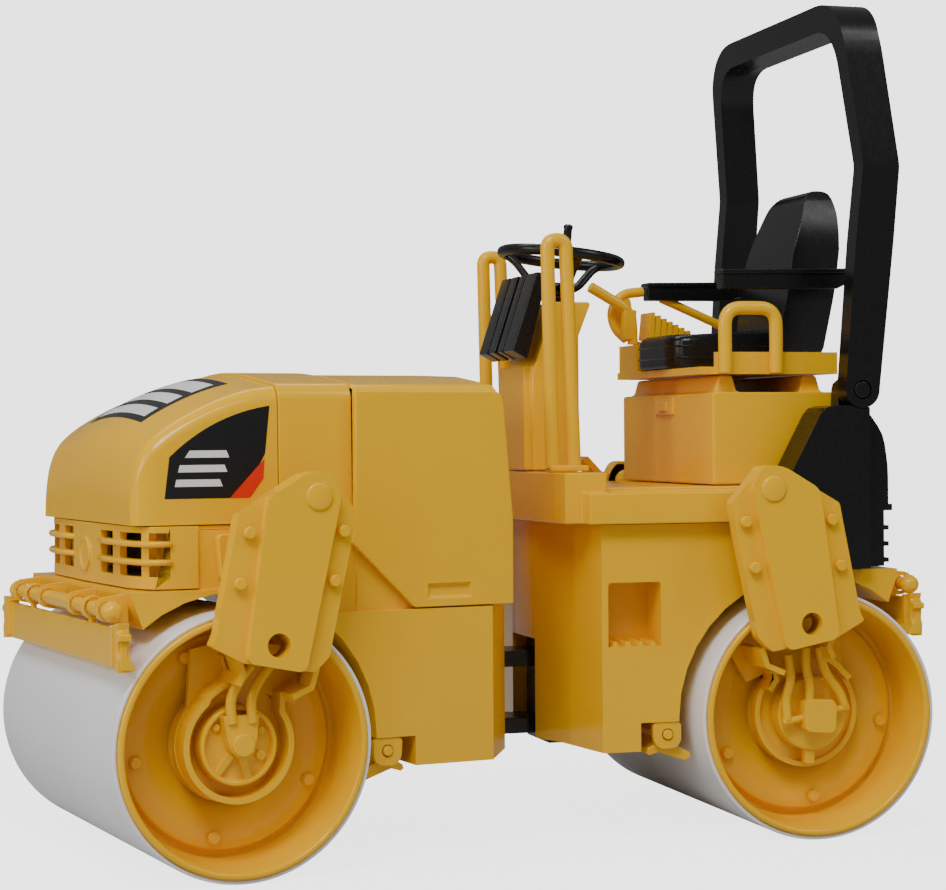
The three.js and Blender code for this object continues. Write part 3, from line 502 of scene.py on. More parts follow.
def heads(name, points, radius, height, sides, matrix, node):
    """Yellow heads standing on the given (x, y, z) points, on the body that holds the node."""
    mesh = bpy.data.meshes.new(name)
    mesh.from_pydata([Vector(p) * MM for p in points], [], [])
    obj = lay(name, mesh)
    modifier = obj.modifiers.new("heads", "NODES")
    modifier.node_group = HEADS
    values = {"Radius": radius * MM, "Height": height * MM, "Sides": sides, "Material": YELLOW}
    for socket in HEADS.interface.items_tree:
        if socket.in_out == "INPUT" and socket.name in values:
            modifier[socket.identifier] = values[socket.name]
    bake(obj)
    move = Matrix.Scale(MM, 4) @ matrix @ Matrix.Scale(1 / MM, 4)
    obj.data.transform(move)
    if move.determinant() < 0:
        obj.data.flip_normals()
    obj.data.shade_smooth()
    soften(obj, 0.25)
    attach(obj, BODY_OF[node])


# ---------------------------------------------------------------- drums
def drum(end, matrix):
    """A drum shell with its ribbed end discs, the grey skin round it and five bolts on each disc."""
    x, z = AXLE
    rim = [(36.2, 30), (36.2, 59.7), (36.0, 60.2), (35.6, 60.4), (34.9, 60.4), (34.5, 60.2), (34.3, 59.6)]
    groove = [(33.2, 44), (33.0, 42.2), (32.6, 41.6), (31.2, 41.4), (30.5, 41.8), (30.4, 43.3)]
    disc = [(30.2, 43.8), (29.7, 44), (17.4, 44), (17, 43.2), (16.4, 43.2), (16, 44), (5.4, 44)]
    inside = [(5.4, 40), (31, 40), (33, 38), (33, 30)]
    half = rim + groove + disc + inside
    profile = half + [(r, -y) for r, y in half[::-1]]
    mesh = mesh_of(f"skin_{end}_drum", lathe(profile, 128, AXLE), matrix)
    add(f"skin_{end}_drum", mesh, YELLOW, f"{end}_drum")
    edge = [(36.35, 59.3), (37.1, 59.6), (37.4, 59.4), (37.5, 58.9)]
    skin = [(r, -y) for r, y in edge] + edge[::-1]
    mesh = mesh_of(f"skin_{end}_drum_sleeve", lathe(skin, 160, AXLE), matrix)
    add(f"skin_{end}_drum_sleeve", mesh, SLEEVE, f"{end}_drum_sleeve")
    turns = [math.radians(72 * i - 9) for i in range(5)]
    spots = [(x + 27 * math.cos(a), 44.5, z + 27 * math.sin(a)) for a in turns]
    for side, flip in SIDES:
        heads(f"{end}_disc_bolts_{side}", spots, 2, 1.4, 12, matrix @ flip, f"{end}_drum")


# ---------------------------------------------------------------- hood
COVER_BOTTOM = 98.5
COVER_WALL = 1.8
COVER_CROWN = 3.8
COVER_SHOULDER = 5.0
PRINT_TILE = 1.3
HOOD_STATIONS = [
    (80.3, 137.2, 48.6), (88, 136.2, 48.6), (97, 133.4, 48.5), (106, 129.2, 48.35), (113, 124.9, 48.1),
    (117.6, 120.8, 47.6), (120.3, 115.8, 46.5), (121.7, 109.5, 45.1), (122, 105, 44.2),
]
COWL_STATIONS = [(57.9, 138, 49.1), (80.0, 138, 49.1)]


def spline(values, t):
    """Catmull-Rom through a list of tuples, t from 0 to len - 1."""
    last = len(values) - 1
    i = min(int(t), last - 1)
    u = t - i
    p = [values[max(i - 1, 0)], values[i], values[i + 1], values[min(i + 2, last)]]
    return tuple(
        0.5 * (2 * b + (c - a) * u + (2 * a - 5 * b + 4 * c - d) * u * u + (3 * b - a - 3 * c + d) * u**3)
        for a, b, c, d in zip(*p)
    )


def cover_ring(x, top, width):
    """Half of a cover's cross-section at x, from its lower edge over the shoulder to the middle."""
    r = min(COVER_SHOULDER, (top - COVER_BOTTOM) * 0.5)
    middle = (COVER_BOTTOM + top - r) / 2
    points = [(width, COVER_BOTTOM), (width - 0.3, middle), (width - 0.6, top - r)]
    for i in range(1, 9):
        a = i * math.pi / 18
        points.append((width - 0.6 - r * (1 - math.cos(a)), top - r * (1 - math.sin(a))))
    y0, z0 = points[-1]
    for i in range(1, 13):
        s = i / 12
        rise = math.sin(s * math.pi / 2) ** 1.15
        points.append((y0 * (1 - s), z0 + (top + COVER_CROWN - z0) * rise))
    return [Vector((x, y, z)) for y, z in points]


def cover(node, stations, steps, cap):
    """A thin crowned cover through (x, top, half width) stations; returns its surface for the prints."""
    bm = bmesh.new()
    rings = []
    for k in range(steps + 1):
        x, top, width = spline(stations, k * (len(stations) - 1) / steps)
        half = cover_ring(x, top, width)
        ring = half + [Vector((p.x, -p.y, p.z)) for p in half[-2::-1]]
        rings.append([bm.verts.new(p) for p in ring])
    for one, two in zip(rings, rings[1:]):
        for a, b, c, d in zip(one, one[1:], two[1:], two):
            bm.faces.new((a, b, c, d))
    if cap:
        bm.faces.new(rings[-1])
    clean(bm)
    if sum(f.normal.z for f in bm.faces) < 0:
        bmesh.ops.reverse_faces(bm, faces=bm.faces)
    tree = BVHTree.FromBMesh(bm)
    obj = lay("skin_" + node, mesh_of("skin_" + node, bm, FRONT))
    shell = obj.modifiers.new("wall", "SOLIDIFY")
    shell.thickness = COVER_WALL * MM
    shell.offset = -1
    bake(obj)
    obj.data.materials.append(YELLOW)
    soften(obj, 0.35, 2, 40)
    settle(obj, node)
    return tree


def decal(name, outline, tree, along, sign, lift, material):
    """A printed panel: the outline cut into small tiles and laid on the hood's surface.

    The outline is pressed on along y (1) or z (2) from the side that sign gives.
    """
    flat = (0, 2) if along == 1 else (0, 1)
    bm = bmesh.new()
    verts = []
    for a, b in outline:
        p = [0, 0, 0]
        p[flat[0]], p[flat[1]] = a, b
        verts.append(bm.verts.new(p))
    bm.faces.new(verts)
    for axis, k in ((0, 0), (flat[1], 1)):
        values = [point[k] for point in outline]
        spot = min(values) + PRINT_TILE
        while spot < max(values):
            normal, origin = [0, 0, 0], [0, 0, 0]
            normal[axis], origin[axis] = 1, spot
            everything = bm.verts[:] + bm.edges[:] + bm.faces[:]
            bmesh.ops.bisect_plane(bm, geom=everything, plane_co=origin, plane_no=normal)
            spot += PRINT_TILE
    ray = [0, 0, 0]
    ray[along] = -sign
    for v in bm.verts:
        origin = v.co.copy()
        origin[along] = sign * 400
        hit, normal, _, _ = tree.ray_cast(origin, Vector(ray))
        if hit is None:
            bm.free()
            return
        v.co = hit + normal * lift
    bmesh.ops.recalc_face_normals(bm, faces=bm.faces)
    if sum(f.normal[along] for f in bm.faces) * sign < 0:
        bmesh.ops.reverse_faces(bm, faces=bm.faces)
    add(name, mesh_of(name, bm, FRONT), material, "hood", extra=True)


def hood_and_prints():
    """The hood with its plain panel, corner and bars on each side and on top, and the cowl behind."""
    tree = cover("hood", HOOD_STATIONS, 42, True)
    cover("mid_cowl", COWL_STATIONS, 4, False)
    top_edge = arc((111.8, 117.2), (82.5, 131.4), -2.6)
    panel = [(113.3, 105.7), (111.8, 117.2), *top_edge, (84, 118), (90.9, 105.7)]
    red = [(84.2, 116.6), (84.6, 111), (88.6, 105.7), (94.6, 105.7)]
    marks = [
        [(110.4, 109), (109.9, 111), (97.4, 111), (96.6, 109)],
        [(109.4, 113), (108.9, 115), (96, 115), (95.2, 113)],
        [(107.4, 117), (106, 119), (95.4, 119), (94.6, 117)],
    ]
    for side, sign in (("left", 1), ("right", -1)):
        decal(f"hood_panel_{side}", panel, tree, 1, sign, 0.06, PANEL_BLACK)
        decal(f"hood_corner_{side}", red, tree, 1, sign, 0.1, PANEL_RED)
        for i, mark in enumerate(marks):
            decal(f"hood_bar_{side}_{i}", mark, tree, 1, sign, 0.1, PANEL_WHITE)
    top = [(113, -26), (113, 26), (88, 29), (88, -29)]
    decal("hood_top_panel", top, tree, 2, 1, 0.06, PANEL_BLACK)
    for i, (x0, x1, w) in enumerate(((111, 107, 23), (104.5, 100, 24), (97.5, 91, 25))):
        bar = [(x0, -w), (x0, w), (x1, w), (x1, -w)]
        decal(f"hood_top_bar_{i}", bar, tree, 2, 1, 0.1, PANEL_WHITE)


# ---------------------------------------------------------------- tubes and wheel
def tube_piece(node, path, radius, matrix):
    """A yellow node made as a round bar."""
    bm = bmesh.new()
    tube(bm, path, radius)
    finish_bm(node, bm, matrix, 0.3, 50)


def handrails():
    """Tall narrow hoops beside the steering column, each on its own foot plate."""
    corners = [(-18.4, 35, 112.6), (-17.2, 35, 181.45), (-23, 35, 181.45), (-25.3, 35, 112.6)]
    plate = [(-29.2, 111.5), (-17, 111.5), (-17, 113.3), (-29.2, 113.3)]
    for side, flip in SIDES:
        node, matrix = f"handrail_{side}", REAR @ flip
        tube_piece(node, rounded(corners, 2.9, 8), 2.15, matrix)
        foot = lay(node + "_foot", mesh_of(node + "_foot", prism(plate, 32, 38), matrix), YELLOW)
        soften(foot, 0.5, 3)
        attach(foot, BODY_OF[node])


def wheel():
    """The steering wheel: rim, dished hub, three spokes and a turning knob."""
    tilt = Matrix.Translation((-32.9, 0, 178.9)) @ Matrix.Rotation(math.radians(-6.46), 4, "Y")
    upright = Matrix.Rotation(math.pi / 2, 4, "X")
    bm = bmesh.new()
    turns = [2 * math.pi * k / 14 for k in range(14)]
    ring = [(18.7 + 1.75 * math.cos(a), 1.75 * math.sin(a)) for a in turns]
    absorb(bm, lathe(ring, 72, (0, 0)), upright)
    hub = [(0.01, -2), (3.6, -2), (4.1, -1.4), (4.4, 1.3), (3.9, 2), (2.2, 2.3), (0.01, 2.3)]
    absorb(bm, lathe(hub, 40, (0, 0)), Matrix.Translation((0, 0, -10.5)) @ upright)
    for degrees in (90, 210, 330):
        spoke = bmesh.new()
        path = rounded([(3, 0, -10.6), (9, 0, -8.6), (15, 0, -2.2), (18.4, 0, -0.4)], 3, 5)
        tube(spoke, path, 1.2, 14, 1.5)
        absorb(bm, spoke, Matrix.Rotation(math.radians(degrees), 4, "Z"))
    knob = [(0.01, -4.3), (1.5, -4.3), (1.3, 2.6), (1.5, 3.4), (1.4, 4.0), (0.9, 4.3), (0.01, 4.3)]
    absorb(bm, lathe(knob, 28, (0, 0)), Matrix.Translation((4.2, 17.8, 4.2)) @ upright)
    mesh = mesh_of("skin_steering_wheel", bm, REAR @ tilt)
    add("skin_steering_wheel", mesh, BLACK, "steering_wheel")


def seat_tubes():
    """The loop handle left of the seat, the grab tube and the drive lever right of it."""
    loop = [(-71.6, 42.4, 141), (-71.6, 42.4, 161), (-88.4, 42.4, 161), (-88.4, 42.4, 141)]
    tube_piece("loop_handle", rounded(loop, 5.5, 8), 2.1, REAR)
    side_view = [(-66.8, 154.2), (-62.4, 158), (-61.2, 164), (-65, 169.6), (-72.6, 170.4)]
    grab = [(x, -33.2, z) for x, z in side_view]
    tube_piece("grab_tube", rounded(grab, 4, 6), 1.7, REAR)
    lever = [(-67, -28, 152.4), (-66.6, -28, 163.4), (-52, -28, 171.6)]
    tube_piece("drive_lever", rounded(lever, 4, 6), 1.8, REAR)


# ---------------------------------------------------------------- hubs and arms
HOSE_Y = 56.6


def hose(bm, route, y, radius):
    """A moulded hose along a route in x, z."""
    tube(bm, rounded([(x, y, z) for x, z in route], 4, 5), radius, 14)


def front_hub(matrix, side):
    """A dished cap with two ribs and three studs, and two hoses that climb from its middle."""
    x, z = AXLE
    bm = bmesh.new()
    wall = [(11.2, 48.4), (11.2, 54.2), (10.9, 54.65), (10.1, 54.65), (9.7, 54.2), (9.5, 52.6)]
    absorb(bm, lathe([(0.01, 48.4), *wall, (0.01, 52.6)], 64, AXLE))
    for degrees in (252, 309):
        rib = prism([(3, -1.2), (9.8, -1), (9.8, 1), (3, 1.2)], 52, 53.9)
        turned = Matrix.Rotation(-math.radians(degrees), 4, "Y")
        absorb(bm, rib, Matrix.Translation((x, 0, z)) @ turned)
    for degrees, reach, r in ((40, 8.1, 1.1), (152, 7.9, 1.2), (205, 7.4, 1.5)):
        a = math.radians(degrees)
        disc_plate(bm, (x + reach * math.cos(a), z + reach * math.sin(a)), r, 52, 53.7, 24, 0.3)
    tongue = [(89.6, 46.2), (90.3, 39.5), (91.6, 36), (94.5, 33.6), (97.4, 36), (98.9, 39.5), (100.1, 46.2)]
    absorb(bm, prism(tongue, 52, 57.6))
    disc_plate(bm, (x, 38), 3.2, 56, 59)
    route = [(97.4, 44), (98.2, 50.4), (95.6, 55.6), (91.8, 60)]
    for shift in (0, -6):
        hose(bm, [(px + shift, pz) for px, pz in route], 57.2, 1.5)
    finish_bm(f"front_hub_{side}", bm, matrix)


def rear_hub(matrix, side):
    """A plain cap with a drive housing on it, a cross bar and three hoses."""
    bm = bmesh.new()
    disc_plate(bm, AXLE, 11.25, 48.4, 54.3, 64, 0.6)
    housing = [
        (89.8, 41.6), (90, 33.6), (91.4, 32.4), (98.6, 31.8),
        (100, 33), (100.3, 40.4), (99, 42), (91.2, 42.4),
    ]
    absorb(bm, prism(housing, 53, 59.5))
    tube(bm, [Vector((83.6, HOSE_Y, 35.4)), Vector((105.3, HOSE_Y, 39.4))], 1.1, 14)
    absorb(bm, prism([(92.2, 28), (92.6, 22), (95.6, 22), (95.6, 28)], 50, 53.4))
    hose(bm, [(85.2, 36), (84.6, 43), (86.6, 48), (85.4, 56)], HOSE_Y, 1.4)
    hose(bm, [(92.4, 41), (92.6, 47), (91.2, 52), (91.4, 58)], HOSE_Y, 1.4)
    hose(bm, [(104, 39.4), (102.4, 44), (97.4, 50), (95.6, 58)], HOSE_Y, 1.4)
    finish_bm(f"rear_hub_{side}", bm, matrix)


def drum_arm(end, side, matrix):
    """A leaning plate with a thinner wing, the web behind it that rings the hub, and its bolts."""
    node = f"{end}_arm_{side}"
    eye = (88, 66, 3.3)
    bm = bmesh.new()
    plate = [(90.9, 106.0), (79.2, 112.9), (72.6, 113.2), (69.2, 106.6), (80.1, 58.1), (97.1, 61.5)]
    absorb(bm, bored_plate(flat(plate, 2.6), eye, 61.3, 69))
    wing_back = [(98.4, 101.7), (90.9, 106.0), (79, 111.9), (72.8, 112.2), (63.9, 102.2), (65.5, 92.5)]
    wing_foot = [(72.1, 61.9), (76.5, 57.8), (97.2, 61.3), (104.2, 65.1), (106.3, 66.2), (104.9, 69)]
    absorb(bm, bored_plate(flat(wing_back + wing_foot, 0.8, 3), eye, 61.3, 66))
    web = [(107.3, 48), (106.3, 64), (97, 66), (78, 64), (70.8, 55.6), (75.6, 47)]
    absorb(bm, prism(around(-232, 60, 16.6, 48) + web, 46, 47.9))
    outer = [(97.6, 62.6), (96.2, 58.2), (97.6, 55), (100.4, 53.4), (103.2, 51.4)]
    inner = [(74.6, 58.6), (76.2, 53.4), (81.8, 51), (82.8, 47.6)]
    if end == "front":
        collar = outer + around(52, -214, 15.3, 72) + inner[::-1][1:]
        absorb(bm, prism(strip(collar, 0.85), 46, 54.8))
    else:
        absorb(bm, prism(strip(outer + around(52, 40, 15.9, 3), 0.9), 46, 54.6))
        absorb(bm, prism(strip(inner + around(140, 152, 15.9, 3), 0.9), 46, 54.6))
        absorb(bm, prism(strip(around(40, -208, 16, 60), 0.8), 46, 49.4))
    for wall in (outer, inner):
        absorb(bm, prism(strip(wall[:3], 0.85), 52, 63))
    finish_bm(node, bm, matrix, 0.45, 30)
    bolts = [(95.5, 66.5, 96.7), (98.3, 66.5, 83), (68, 66.5, 96.5), (70.8, 66.5, 82.9)]
    heads(f"{end}_arm_bolts_{side}", bolts, 1.9, 1.6, 20, matrix, node)
    boss = bmesh.new()
    disc_plate(boss, (76, 106.2), 3.9, 55, 69.7, 48, 0.6)
    add(f"{end}_arm_boss_{side}", mesh_of("boss", boss, matrix), YELLOW, node, extra=True)


def armrest(side, matrix):
    """A black rest with a thin pad on top and a lug to the seat back."""
    bm = bmesh.new()
    beam = [(-73.6, 167.4), (-73.6, 172.4), (-116.4, 173), (-116.4, 169.6), (-112, 167.6)]
    absorb(bm, prism(beam, 30.5, 35.9))
    pad = flat([(-73, 171.8), (-73, 173.3), (-117, 174), (-117, 172.5)], 0.5, 2)
    absorb(bm, prism(pad, 29.8, 36.6))
    absorb(bm, prism([(-104, 168), (-104, 172), (-114, 172), (-114, 168)], 20.4, 31))
    finish_bm(f"armrest_{side}", bm, matrix, 0.5, 30, BLACK)


# ---------------------------------------------------------------- seat, dash and nose
def seat(matrix):
    """The moulded cushion, crowned towards the back, with two welts round its front."""
    cushion = bmesh.new()
    plan = [
        (-63.6, -13), (-63.6, 13), (-66.4, 18.4), (-72, 19.6),
        (-99.4, 19.6), (-99.4, -19.6), (-72, -19.6), (-66.4, -18.4),
    ]
    layers = []
    for z, shrink in ((143.4, 0.6), (144.4, 0), (151.6, 0), (153.2, 0.7), (154, 2.2)):
        ring = []
        for x, y in flat(plan, 3, 4):
            lift = 0 if z < 150 else max(0, (-70 - x)) * 0.05
            inward = -shrink if x > -80 else shrink
            ring.append(cushion.verts.new((x + inward, y * (1 - shrink / 20), z + lift)))
        layers.append(ring)
    for one, two in zip(layers, layers[1:]):
        for k in range(len(one)):
            n = (k + 1) % len(one)
            cushion.faces.new((one[k], one[n], two[n], two[k]))
    cushion.faces.new(layers[0][::-1])
    cushion.faces.new(layers[-1])
    clean(cushion)
    front = [(-99, 19.5), (-72, 19.5), (-66.6, 18.3), (-63.8, 13)]
    welt = front + [(-63.6, 0)] + [(x, -y) for x, y in front[::-1]]
    for z in (146.6, 150.2):
        tube(cushion, [Vector((x, y, z)) for x, y in welt], 0.35, 8, 1, UPWARD)
    finish_bm("seat_cushion", cushion, matrix, 0.3, 40, BLACK)


def grille_bars(matrix):
    """Guard bars that bow out round the nose's lamp corners."""
    bm = bmesh.new()
    line = [(121.6, 13.4), (122.6, 24), (121.8, 38), (119.4, 46.6), (117, 50), (112, 50.4)]
    for sign in (1, -1):
        for z in (88.4, 93.4):
            path = rounded([(x, y * sign, z) for x, y in line], 3, 4)
            tube(bm, path, 0.85, 12, 1, UPWARD)
    add("nose_guard_bars", mesh_of("nose_guard_bars", bm, matrix), YELLOW, "nose_grille", extra=True)


def dash(matrix):
    """Two raised slabs side by side, each with a shallow groove down its face."""
    high = [(-10.9, 148.7), (-18.9, 173), (-22.6, 172.4), (-19.4, 160), (-15.8, 146)]
    low = [(-12.4, 148.4), (-20.2, 171.8), (-22.4, 171.6), (-19.4, 160), (-15.8, 146.6)]
    bm = bmesh.new()
    for y0, y1 in ((-19, -10.4), (-8.4, -1.7), (1.7, 6.4), (8, 19)):
        absorb(bm, prism(high, y0, y1))
    absorb(bm, prism(low, -18, 18))
    finish_bm("dash_cover", bm, matrix, 0.5, 30, BLACK)


# ---------------------------------------------------------------- scrapers and small details
def end_scraper(end, matrix):
    """The blade under a spray pipe, with a bar and a notched tab at each end and two clip rings."""
    reach = 62 if end == "front" else 55
    bm = bmesh.new()
    blade = [(128.4, 71.5), (130.1, 71.5), (130.5, 62.2), (130, 60.5), (126, 60.5), (128.4, 64.6)]
    absorb(bm, prism(blade, -reach, reach))
    bar = [(-7.4, 61.4), (-5.2, 61.4), (-5.2, 72.4), (-7.4, 72.4)]
    tab_foot = [(-3.6, 60.3), (-0.4, 60), (-0.1, 63.6), (-1, 65.4), (-0.7, 68.2), (1.1, 68.5)]
    tab = tab_foot + [(1.1, 70.2), (-0.6, 70.4), (-1.3, 71.4), (-0.7, 73.2), (-3.6, 73)]
    for sign in (1, -1):
        for outline, x1 in ((bar, 131.3), (tab, 131.1)):
            absorb(bm, prism([(sign * (reach + y), z) for y, z in outline], 127.6, x1), SWAP_XY)
    for y in (-31, 31):
        near, far = y - 1.2, y + 1.2
        absorb(bm, lathe([(2.5, near), (3.3, near), (3.3, far), (2.5, far)], 32, (129, 75.6)))
        absorb(bm, prism([(128.6, 70.8), (130, 70.8), (130, 72.9), (128.6, 72.9)], near, far))
    finish_bm(f"{end}_scraper", bm, matrix, 0.25, 30)


def inner_scraper(end, matrix):
    """A bent blade on a long pin, hung between two bored brackets of the chassis."""
    bm = bmesh.new()
    pin = (48.7, 32.7)
    eye = [(50.8, 33.2), (48.7, 34.9), (46.6, 33.2), (46.8, 31.2), (44.8, 29.2), (43, 28.2), (42.7, 26.9)]
    tip = [(43.6, 26.3), (46.6, 27.2), (55, 24.3), (57, 25.5), (56.4, 26.9), (50.8, 29.6)]
    absorb(bm, prism(eye + tip, -49.3, 49.3))
    disc_plate(bm, pin, 1.5, 48, 52.2, 32, 0.3)
    disc_plate(bm, pin, 1.5, -52.2, -48, 32, 0.3)
    finish_bm(f"{end}_inner_scraper", bm, matrix, 0.3, 35)
    bracket = flat([(53, 36.4), (53, 30.6), (51.4, 28.6), (46.4, 28.4), (44.4, 30.4), (44, 36.4)], 1.6)
    for name, y in (("left", 49.7), ("right", -51.6)):
        plate = bored_plate(bracket, (*pin, 1.8), y, y + 1.9)
        extra_part(f"{end}_scraper_bracket_{name}", plate, matrix, f"{end}_chassis", 0.25)


def seat_side(matrix):
    """The moulded fin inside the grab tube, the post round the drive lever, its ribbed boot and a stay."""
    fin = [
        (-65.4, 154), (-62.6, 159.6), (-61.4, 165), (-62.8, 169.4),
        (-66.4, 169.9), (-68.2, 167), (-68.4, 154),
    ]
    extra_part("grab_tube_fin", prism(flat(fin, 1.4), -34.4, -32), matrix, "grab_tube")
    post = prism([(-63.4, 153.8), (-63.4, 163.8), (-68, 164), (-67.8, 153.8)], -29.8, -26.2)
    extra_part("drive_lever_post", post, matrix, "drive_lever", 0.6)
    boot = bmesh.new()
    for i in range(7):
        x, top = -72.2 - i * 2.1, 163 - i * 1.0
        rib = flat([(x + 1.4, 153.8), (x + 0.5, top), (x - 1.1, top), (x - 0.7, 153.8)], 0.5, 3)
        absorb(boot, prism(rib, -33, -23))
    absorb(boot, prism([(-71.4, 153.8), (-72.4, 160.6), (-84.8, 155.4), (-85, 153.8)], -32.4, -23.6))
    finish_bm("control_boot", boot, matrix, 0.2, 35)
    stay = bmesh.new()
    tube(stay, rounded([(-79, -33.2, 168.2), (-84, -33.2, 166.2), (-101, -33.2, 159)], 3, 4), 1.5, 16)
    extra_part("armrest_stay", stay, matrix, "armrest_right")


def hood_ledge(matrix):
    """The narrow ledge under each side of the hood."""
    for name, y in (("left", 45.2), ("right", -47.9)):
        ledge = prism([(79, 97.05), (105.4, 97.05), (105.4, 98.2), (79, 98.2)], y, y + 2.7)
        extra_part(f"hood_ledge_{name}", ledge, matrix, "front_chassis", 0.2)


def tank_latch(matrix):
    """The catch on the front of the tank under the seat, with its button."""
    latch = prism([(-69, 128.7), (-67.1, 128.7), (-67.4, 134), (-69, 134)], -8, 8)
    extra_part("tank_latch", latch, matrix, "seat_tank")
    button = prism([(-69, 129.8), (-66.5, 129.8), (-66.8, 132.6), (-69, 132.6)], -3.4, 3.4)
    extra_part("tank_latch_button", button, matrix, "seat_tank")


# ---------------------------------------------------------------- roll bar
def hoop_half(post, corner, radius):
    """Half of the hoop's front view, from the foot to the top's middle, with its crease and corner."""
    return bend(post, 1.5, 3)[:-1] + bend([*post[1:], corner], radius, 14)[1:-1]


def roll_bar(matrix):
    """A flat-sided hoop: its side view crossed with its front view, with bored feet."""
    x, z = -110.7, 135.6
    turns = (math.pi * (1 + k / 24) for k in range(25))
    foot = [(x + 5.6 * math.cos(a), z + 5.6 * math.sin(a)) for a in turns]
    front = bend([foot[-1], (-108.3, 181), (-110.6, 204), (-106.2, 244), (-105.6, 255.7)], 1.5, 3)[1:]
    rear = bend([(-118.6, 255.7), (-118.4, 244), (-122.7, 204), (-120.8, 181), foot[0]], 1.5, 3)[:-1]
    outside = hoop_half([(56.3, 120), (58, 204), (52.6, 255.7)], (0, 255.7), 18)
    inside = hoop_half([(49.6, 110), (51.3, 204), (46.2, 247.4)], (0, 247.4), 13)
    obj = lay("skin_roll_bar", mesh_of("skin_roll_bar", prism(foot + front + rear, -60, 60), matrix))
    for half, operation, reach in ((outside, "INTERSECT", 0), (inside, "DIFFERENCE", 1)):
        outline = half + [(-y, h) for y, h in half[::-1]]
        form = bmesh.new()
        absorb(form, prism(outline, -130 - reach, -100 + reach), SWAP_XY)
        combine(obj, operation, form, matrix)
    bore = lathe([(0.01, -70), (2.9, -70), (2.9, 70), (0.01, 70)], 40, (x, z))
    combine(obj, "DIFFERENCE", bore, matrix)
    obj.data.materials.clear()
    obj.data.materials.append(BLACK)
    obj.data.shade_smooth()
    soften(obj, 0.9, 3, 30)
    settle(obj, "roll_bar")


# ---------------------------------------------------------------- the machine
for end, matrix in ENDS:
    drum(end, matrix)
hood_and_prints()
handrails()
wheel()
seat_tubes()
for side, flip in SIDES:
    front_hub(FRONT @ flip, side)
    rear_hub(REAR @ FLIP_X @ flip, side)
    drum_arm("front", side, FRONT @ flip)
    drum_arm("rear", side, REAR @ FLIP_X @ flip)
    armrest(side, REAR @ flip)
seat(REAR)
dash(REAR)
seat_side(REAR)
roll_bar(REAR)
tank_latch(REAR)
grille_bars(FRONT)
hood_ledge(FRONT)
for end, matrix in ENDS:
    end_scraper(end, matrix)
    inner_scraper(end, matrix)

# Width of the rounded edges on the nodes that keep their CAD shape, by name without side or end.
EDGE_WIDTH = {
    "chassis": 0.9, "operator_deck": 0.5, "seat_tank": 1.4, "steering_column": 1.1, "seat_back": 1.3,
    "rear_cover": 0.9, "rear_cowl": 1.6, "side_cover": 0.9, "side_hatch": 0.6, "nose_grille": 0.4,
    "spray_pipe": 0.3, "seat_platform": 0.8, "foot_pedal": 0.5,
}
PLAIN_EDGE_WIDTH = 0.4
for node in frame["nodes"]:
    if node in FINISHED:
        continue
    family = node.removesuffix("_left").removesuffix("_right")
    short = family.removeprefix("front_").removeprefix("rear_")
    rounded_copy(node, EDGE_WIDTH.get(family, EDGE_WIDTH.get(short, PLAIN_EDGE_WIDTH)))

# ---------------------------------------------------------------- stage, light and camera
FLOOR_HALF = 6
FLOOR_GLOW = 2.7
ROOM_GLOW = 0.2
BACKDROP_GLOW = 3.6


def floor_white():
    """A pale matt floor that the camera sees almost as bright as the backdrop."""
    material, nodes, links, bsdf = shader("floor_white")
    bsdf.inputs["Base Color"].default_value = (0.5, 0.5, 0.5, 1)
    bsdf.inputs["Roughness"].default_value = 0.8
    bsdf.inputs["Emission Color"].default_value = (1, 1, 1, 1)
    ray, level = nodes.new("ShaderNodeLightPath"), nodes.new("ShaderNodeMath")
    level.operation = "MULTIPLY"
    level.inputs[1].default_value = FLOOR_GLOW
    links.new(ray.outputs["Is Camera Ray"], level.inputs[0])
    links.new(level.outputs["Value"], bsdf.inputs["Emission Strength"])
    return material


floor_mesh = bpy.data.meshes.new("floor")
corners = [(x * FLOOR_HALF, y * FLOOR_HALF, 0) for x, y in ((-1, -1), (1, -1), (1, 1), (-1, 1))]
floor_mesh.from_pydata(corners, [], [(0, 1, 2, 3)])
floor = lay("floor", floor_mesh, floor_white())

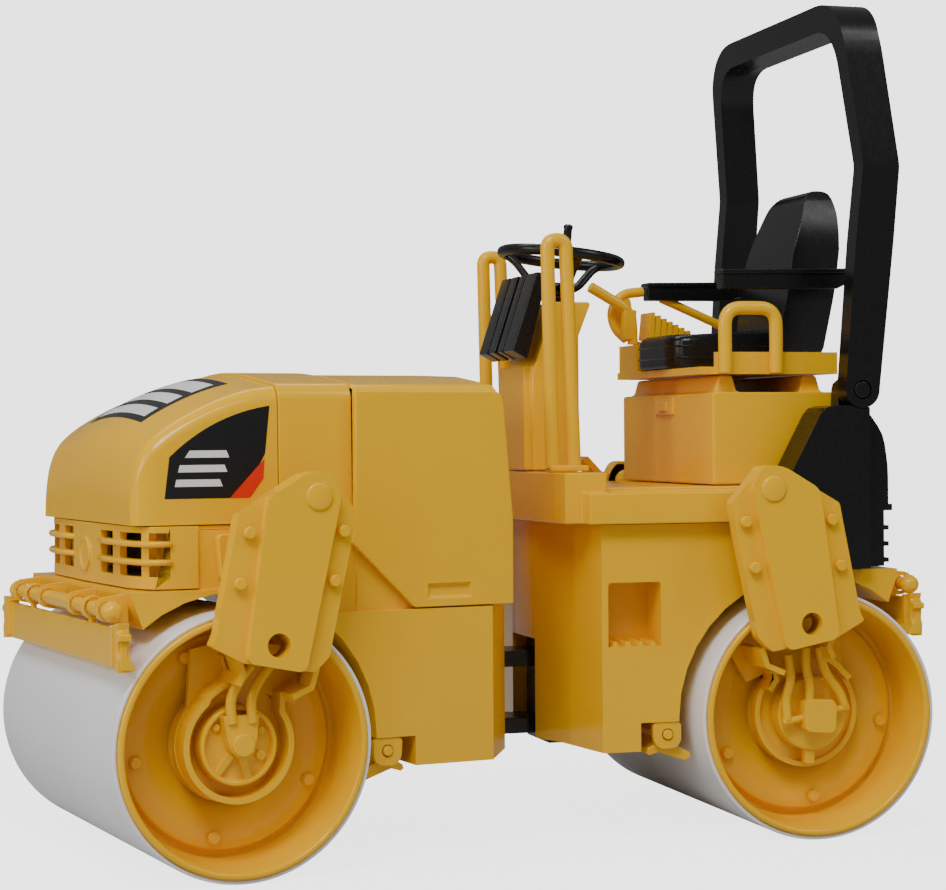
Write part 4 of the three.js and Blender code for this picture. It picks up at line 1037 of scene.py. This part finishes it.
world = bpy.data.worlds.new("studio")
world.use_nodes = True
world_nodes, world_links = world.node_tree.nodes, world.node_tree.links
soft = world_nodes["Background"]
soft.inputs["Color"].default_value = (1, 1, 1, 1)
soft.inputs["Strength"].default_value = ROOM_GLOW
backdrop = world_nodes.new("ShaderNodeBackground")
backdrop.inputs["Strength"].default_value = BACKDROP_GLOW
ray, blend = world_nodes.new("ShaderNodeLightPath"), world_nodes.new("ShaderNodeMixShader")
world_links.new(ray.outputs["Is Camera Ray"], blend.inputs["Fac"])
world_links.new(soft.outputs["Background"], blend.inputs[1])
world_links.new(backdrop.outputs["Background"], blend.inputs[2])
world_links.new(blend.outputs["Shader"], world_nodes["World Output"].inputs["Surface"])
bpy.context.scene.world = world


def area_light(name, position, target, size, power):
    """A rectangular lamp, its size in metres and power in watts, that faces the target."""
    data = bpy.data.lights.new(name, "AREA")
    data.shape = "RECTANGLE"
    data.size, data.size_y = size
    data.energy = power
    light = bpy.data.objects.new(name, data)
    light.location = position
    light.rotation_euler = (Vector(target) - Vector(position)).to_track_quat("-Z", "Y").to_euler()
    bpy.context.scene.collection.objects.link(light)


area_light("key", (0.42, 0.78, 1.05), (0, 0, 0.1), (0.5, 0.4), 7.4)
area_light("fill", (-0.75, 0.6, 0.9), (0, 0, 0.1), (0.5, 0.5), 2.8)
area_light("nose", (1.1, 0.25, 0.5), (0, 0, 0.1), (0.5, 0.5), 3.2)
area_light("strip", (0.15, -0.5, 1.1), (0, 0, 0.12), (1.0, 0.16), 2.4)
area_light("edge", (0.95, 0.75, 0.55), (0, 0, 0.12), (0.05, 0.8), 1.6)
area_light("glint", (0.25, 0.55, 0.95), (0, 0, 0.12), (0.9, 0.04), 1.6)

right, up = Vector((-0.9623, 0.2719, -0.0072)), Vector((-0.0084, -0.0034, 1.0))
forward = Vector((-0.2719, -0.9623, -0.0055))
turn = Matrix((right, up, -forward)).transposed().to_4x4()
lens = bpy.data.cameras.new("camera")
lens.lens = 87.5
lens.sensor_width = 36
camera = bpy.data.objects.new("camera", lens)
camera.matrix_world = Matrix.Translation((0.1899, 0.6898, 0.1235)) @ turn
bpy.context.scene.collection.objects.link(camera)
bpy.context.scene.camera = camera
